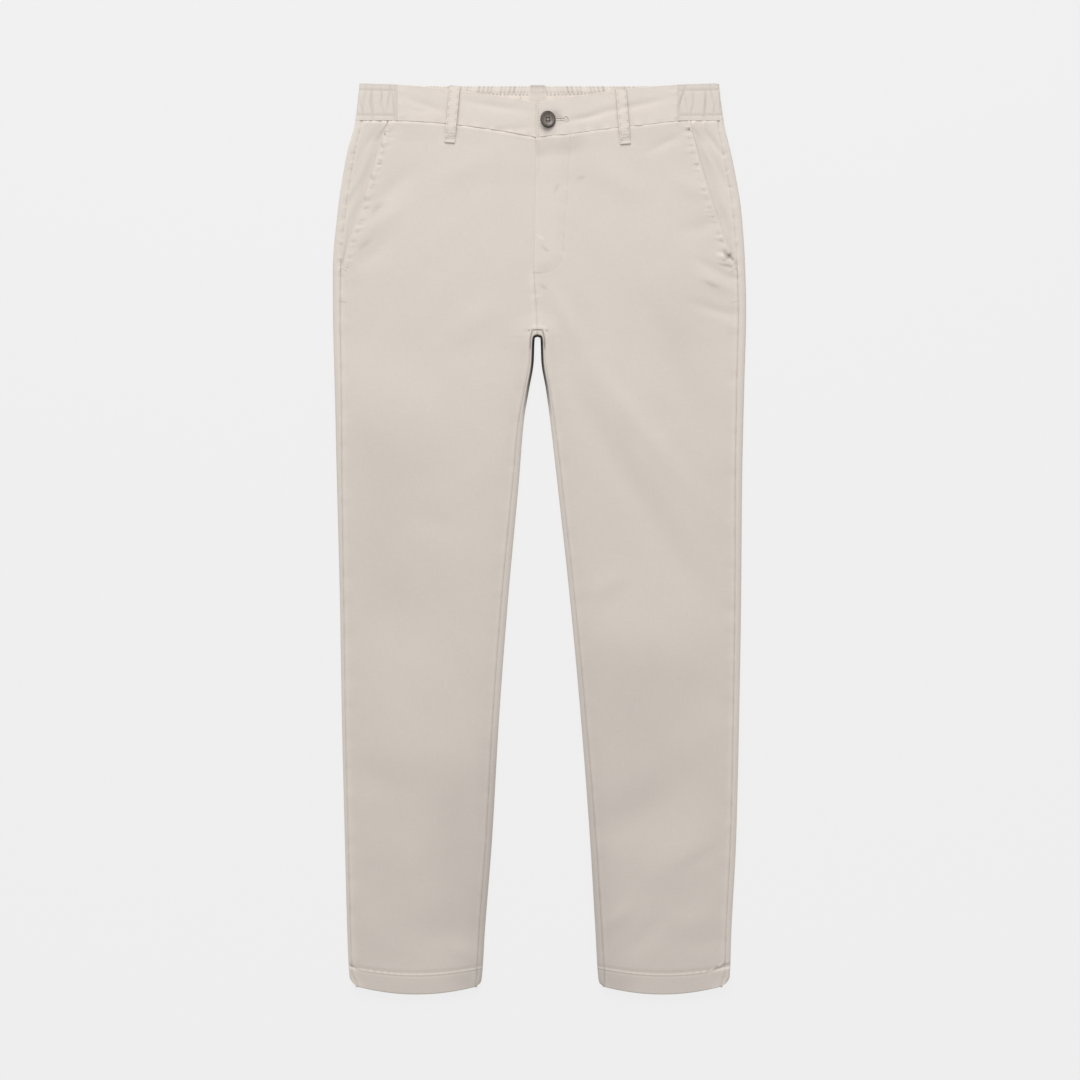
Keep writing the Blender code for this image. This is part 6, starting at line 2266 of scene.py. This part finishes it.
@dataclass(frozen=True)
class GarmentSewing:
    """Where the trousers are topstitched, tacked and overcast."""

    button: WaistButton
    lay: Lay = LAY

    def waistband(self, surface: Surface) -> Thing:
        """Rows through the elastic, the columns at its ends and the dashes inside the back."""
        sewing = Sewing("waistband_stitches", surface)
        lay, (low, high) = self.lay, STITCH_SHARES
        for side in Side:
            sign, end = side.sign, lay.elastic_end(side)
            for share in (low, high):
                x = np.linspace(end + sign * 1.5, sign * 203.0, 60)
                sewing.line(plan(x, lay.band_y(x, share)), FINE_STITCH)
            ends = [[end - sign * 1.6, float(lay.band_y(end, share))] for share in (0.1, 0.9)]
            sewing.line(ends, FINE_STITCH)
            back = np.array([[sign * 199.0, 0.0], [lay.centre + sign * 2.0, 0.0]])
            for share in (low, 0.5, high):
                back[:, 1] = lay.top - lay.seam_drop + (lay.seam_drop - lay.back_top_drop) * share
                sewing.line(back, TOPSTITCH, above=False)
            x = np.linspace(sign * 84.0, lay.centre + sign * 11.0, 30)
            sewing.line(plan(x, lay.inside_top - lay.inside_sag(x)), FINE_STITCH)
        return sewing.build()

    def overlap(self, surface: Surface, seams: SideSeams) -> Thing:
        """The waistband's overlap, the fly's free edge and its curved stitching."""
        sewing = Sewing("fly_stitches", surface)
        lay = self.lay
        x = float(lay.fly_edge(lay.seam_drop)) + 2.6
        sewing.line([[x, float(lay.band_y(x, share))] for share in (0.05, 0.95)], FINE_STITCH)
        edge_line = seams.fly + np.array([2.4, 0.0])
        sewing.line(edge_line[edge_line[:, 1] > 315.0], FINE_STITCH)
        sewing.line(seams.fly_stitch(0.4), FINE_STITCH)
        sewing.bar(seams.fly_stitch(0.4)[-1] + (4.5, 0.4), 8.0, 1.8, 0.05)
        sewing.line(seams.centre[1:-1] + np.array([-2.6, 0.0]), FINE_STITCH)
        return sewing.build()

    def pockets(self, surface: Surface, sides: dict[Side, SideSeams]) -> Thing:
        """Both slant pockets: the mouth's edge stitching and the tacks at its two ends."""
        sewing = Sewing("pocket_stitches", surface)
        for side, seams in sides.items():
            sign = side.sign
            sewing.line(seams.aside(seams.mouth[2:-3], 6.2), TOPSTITCH)
            head, foot = seams.mouth[2], seams.mouth[-3]
            sewing.bar(head - (sign * 3.0, 0.0), 6.5, 1.8, 0.25 * sign)
            sewing.bar(foot - (sign * 2.6, 1.0), 7.5, 1.8, 0.5 * sign)
            sewing.bar(foot - (sign * 2.0, 38.0), 7.0, 1.6, 0.2 * sign)
        return sewing.build()

    def hems(self, surface: Surface) -> Thing:
        """The row round each hem, front and back."""
        sewing = Sewing("hem_stitches", surface)
        lay = self.lay
        for side in Side:
            for above in (True, False):
                drop = lay.hem_stitch
                outer, inner = edge(OUTER_EDGES, side, drop), edge(INNER_EDGES, side, drop)
                x = np.linspace(float(inner) + side.sign * 2.0, float(outer) - side.sign * 2.0, 60)
                y = lay.top - drop - lay.hem_bow(side, x, np.full_like(x, drop)) + lay.hem_lift(side, x)
                sewing.line(plan(x, y), TOPSTITCH, above)
        return sewing.build()

    def loops(self, surface: Surface) -> Thing:
        """Two rows down each front loop with two tacks near its foot, and a tack near each end of the back
        loops.
        """
        sewing = Sewing("belt_loop_stitches", surface)
        for line in FRONT_LOOPS.values():
            top, foot = np.array([line.top_x, line.top_y]), np.array([line.foot_x, line.foot_y])
            way = (foot - top) / np.linalg.norm(foot - top)
            aside = np.array([-way[1], way[0]])
            for reach in (-4.3, 4.3):
                sewing.line(np.array([top + way * 4.0, foot - way * 3.0]) + aside * reach, FINE_STITCH)
            angle = math.atan2(aside[1], aside[0])
            for back in (7.6, 10.6):
                sewing.bar(foot - way * back, 9.0, 1.5, angle)
        side_x = BeltLoops.back_x
        for x, wide in ((side_x, 9.0), (-side_x, 9.0), (self.lay.centre, 12.5)):
            for back in (5.0, 58.0):
                sewing.bar((x, self.lay.back_top - back), wide, 1.7, 0.0, above=False)
        return sewing.build()

    def buttonhole(self, surface: Surface, band: Waistband) -> Thing:
        """The overcast keyhole buttonhole."""
        sewing = Sewing("buttonhole_stitches", surface)
        y = band.slit_y
        count = round((band.slit_end - band.slit_start) / HOLE_STITCH.pitch)
        for sign in (-1.0, 1.0):
            places = [(x, y + sign * 1.2) for x in np.linspace(band.slit_start, band.slit_end, count)]
            spots, normals = surface.lay(np.array(places))
            for spot, normal in zip(spots, normals):
                sewing.add(spot, np.array([0.12, 1.0, 0.0]), normal, HOLE_STITCH)
        angles = np.linspace(math.radians(-115), math.radians(115), 17)
        reach = band.eye_radius + 1.2
        eye = np.stack([band.eye_x + reach * np.cos(angles), y + reach * np.sin(angles)], axis=1)
        spots, normals = surface.lay(eye)
        for spot, normal, angle in zip(spots, normals, angles):
            sewing.add(spot, np.array([math.cos(angle), math.sin(angle), 0.0]), normal, HOLE_STITCH)
        return sewing.build()

    def button_thread(self, surface: Surface) -> Thing:
        """The thread that crosses between the button's holes, and its wound shank."""
        sewing = Sewing("button_thread", surface)
        button = self.button
        place = np.array(button.place())
        strand = Stitch(length=button.hole_spacing * 0.95, pitch=0.5, width=0.6, height=0.5, sink=0.0)
        up = place[:3, 2]
        middle = place @ np.array([0.0, 0.0, button.well_height + 0.05, 1.0])
        for lean in (-1.0, 1.0):
            sewing.add(middle[:3], place[:3, 0] + lean * place[:3, 1], up, strand)
        wrap = Stitch(length=1.9, pitch=0.4, width=1.7, height=0.5, sink=0.0)
        for i in range(7):
            spot = place @ np.array([0.0, 0.0, -0.1 - 0.42 * i, 1.0])
            turn = 0.6 * i
            way = place[:3, 0] * math.cos(turn) + place[:3, 1] * math.sin(turn)
            sewing.add(spot[:3], way, up, wrap)
        return sewing.build()


# ---- studio


@dataclass(frozen=True)
class Studio:
    """Floor, lights and camera, in metres."""

    floor_size: float = 12.0
    floor_depth: float = 0.0004
    floor_glow: float = 0.80
    floor_colour: float = 0.07
    camera: tuple[float, float, float] = (0.000575, -0.00115, 5.0)
    view_width: float = 1.242
    dome: float = 0.537
    key_at: tuple[float, float, float] = (-0.25, 2.6, 1.65)
    key_size: float = 2.0
    key_power: float = 76.5

    def floor(self) -> Thing:
        """Makes the pale floor.

        Returns:
            The floor's object.
        """
        made = bmesh.new()
        where = Matrix.Translation((0.0, 0.0, -self.floor_depth))
        bmesh.ops.create_grid(made, x_segments=1, y_segments=1, size=self.floor_size / 2, matrix=where)
        mesh = mesh_of("floor", made)
        material, wire, shader = new_material("pale_floor")
        place = wire.node("ShaderNodeTexCoord").outputs["Object"]
        grain = wire.added(1.0, (wire.noise(place, 60.0), 0.02))
        look = {"Base Color": wire.scaled((self.floor_colour,) * 3, grain), "Roughness": 0.9}
        look |= {"Specular IOR Level": 0.0, "Emission Color": WHITE, "Emission Strength": self.floor_glow}
        wire.fill(shader, look)
        mesh.materials.append(material)
        return linked("floor", mesh)

    def lights(self) -> None:
        """Makes the even dome and the soft light beyond the waist."""
        world = bpy.data.worlds.new("studio_dome")
        world.use_nodes = True
        dome = world.node_tree.nodes["Background"]
        Wiring(world.node_tree).fill(dome, {"Color": WHITE, "Strength": self.dome})
        bpy.context.scene.world = world
        lamp = bpy.data.lights.new("waist_light", "AREA")
        lamp.shape, lamp.size, lamp.energy = "SQUARE", self.key_size, self.key_power
        light = linked("waist_light", lamp)
        light.location = self.key_at
        aim = Vector((0.0, 0.1, 0.0)) - light.location
        light.rotation_euler = aim.to_track_quat("-Z", "Y").to_euler()

    def eye(self) -> None:
        """Makes the camera above the garment."""
        data = bpy.data.cameras.new("camera")
        data.sensor_width = 36.0
        data.lens = data.sensor_width * self.camera[2] / self.view_width
        camera = linked("camera", data)
        camera.location = self.camera
        bpy.context.scene.camera = camera


# ---- the garment


@dataclass(frozen=True)
class Finishes:
    """The finishes of the trousers."""

    outside: ClothFinish = ClothFinish()
    # the elastic's painted shade and light is half as strong again
    inside: ClothFinish = ClothFinish(colour=(0.668, 0.605, 0.547), crease=1.5)
    # the thread is darker than the cloth, as painted shade of the dents that its stitches sink into
    thread: ThreadFinish = ThreadFinish((0.61, 0.55, 0.495))
    hole_thread: ThreadFinish = ThreadFinish((0.60, 0.545, 0.50))
    button_thread: ThreadFinish = ThreadFinish((0.58, 0.53, 0.48))
    horn: HornFinish = HornFinish()


def dress(thing: Thing, material: bpy.types.Material) -> None:
    """Gives a piece its material, body and slot, and reports it.

    Args:
        thing: The piece.
        material: Its material.
    """
    thing.data.materials.append(material)
    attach(thing, BODY)
    log.info("%s: %d faces", thing.name, len(thing.data.polygons))


def dress_cloth(piece: Piece, material: bpy.types.Material) -> None:
    """Dresses a piece of cloth and puts it in its node's place."""
    dress(piece.thing, material)
    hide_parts(piece.node)


def main() -> None:
    """Builds and dresses the trousers, then the studio."""
    logging.basicConfig(level=logging.INFO, format="%(message)s")
    groups, finishes, surface = Groups(), Finishes(), Surface()
    leg_twill = finishes.outside.material("twill_leg", Grain.ALONG_LEG, groups)
    band_twill = finishes.outside.material("twill_waistband", Grain.ALONG_BAND, groups)
    elastic_twill = finishes.inside.material("twill_elastic", Grain.ALONG_BAND, groups)
    # the topstitching thread, darkened as painted shade
    thread = finishes.thread.material("thread_darkened_as_shade", groups)
    sides = {side: SideSeams(side, LAY) for side in Side}
    bands = {side: Waistband(side) for side in Side}
    for side, seams in sides.items():
        for piece in Leg(side).build(seams, surface):
            dress_cloth(piece, leg_twill)
        for piece in bands[side].build(surface):
            dress_cloth(piece, elastic_twill if piece.held == "gathered" else band_twill)
    for piece in BeltLoops().build(surface):
        dress_cloth(piece, leg_twill)
    button = WaistButton()
    disc = button.build()
    dress(disc, finishes.horn.material("streaked_horn", groups))
    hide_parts("button")
    sewing = GarmentSewing(button)
    for thing in (
        sewing.waistband(surface),
        sewing.overlap(surface, sides[Side.LEFT]),
        sewing.pockets(surface, sides),
        sewing.hems(surface),
        sewing.loops(surface),
    ):
        dress(thing, thread)
    hole = sewing.buttonhole(surface, bands[Side.LEFT])
    dress(hole, finishes.hole_thread.material("buttonhole_thread", groups))
    strands = sewing.button_thread(surface)
    dress(strands, finishes.button_thread.material("button_thread", groups))
    studio = Studio()
    studio.floor()
    studio.lights()
    studio.eye()
    bpy.context.scene.view_settings.view_transform = "Standard"


if __name__ == "__main__":
    main()
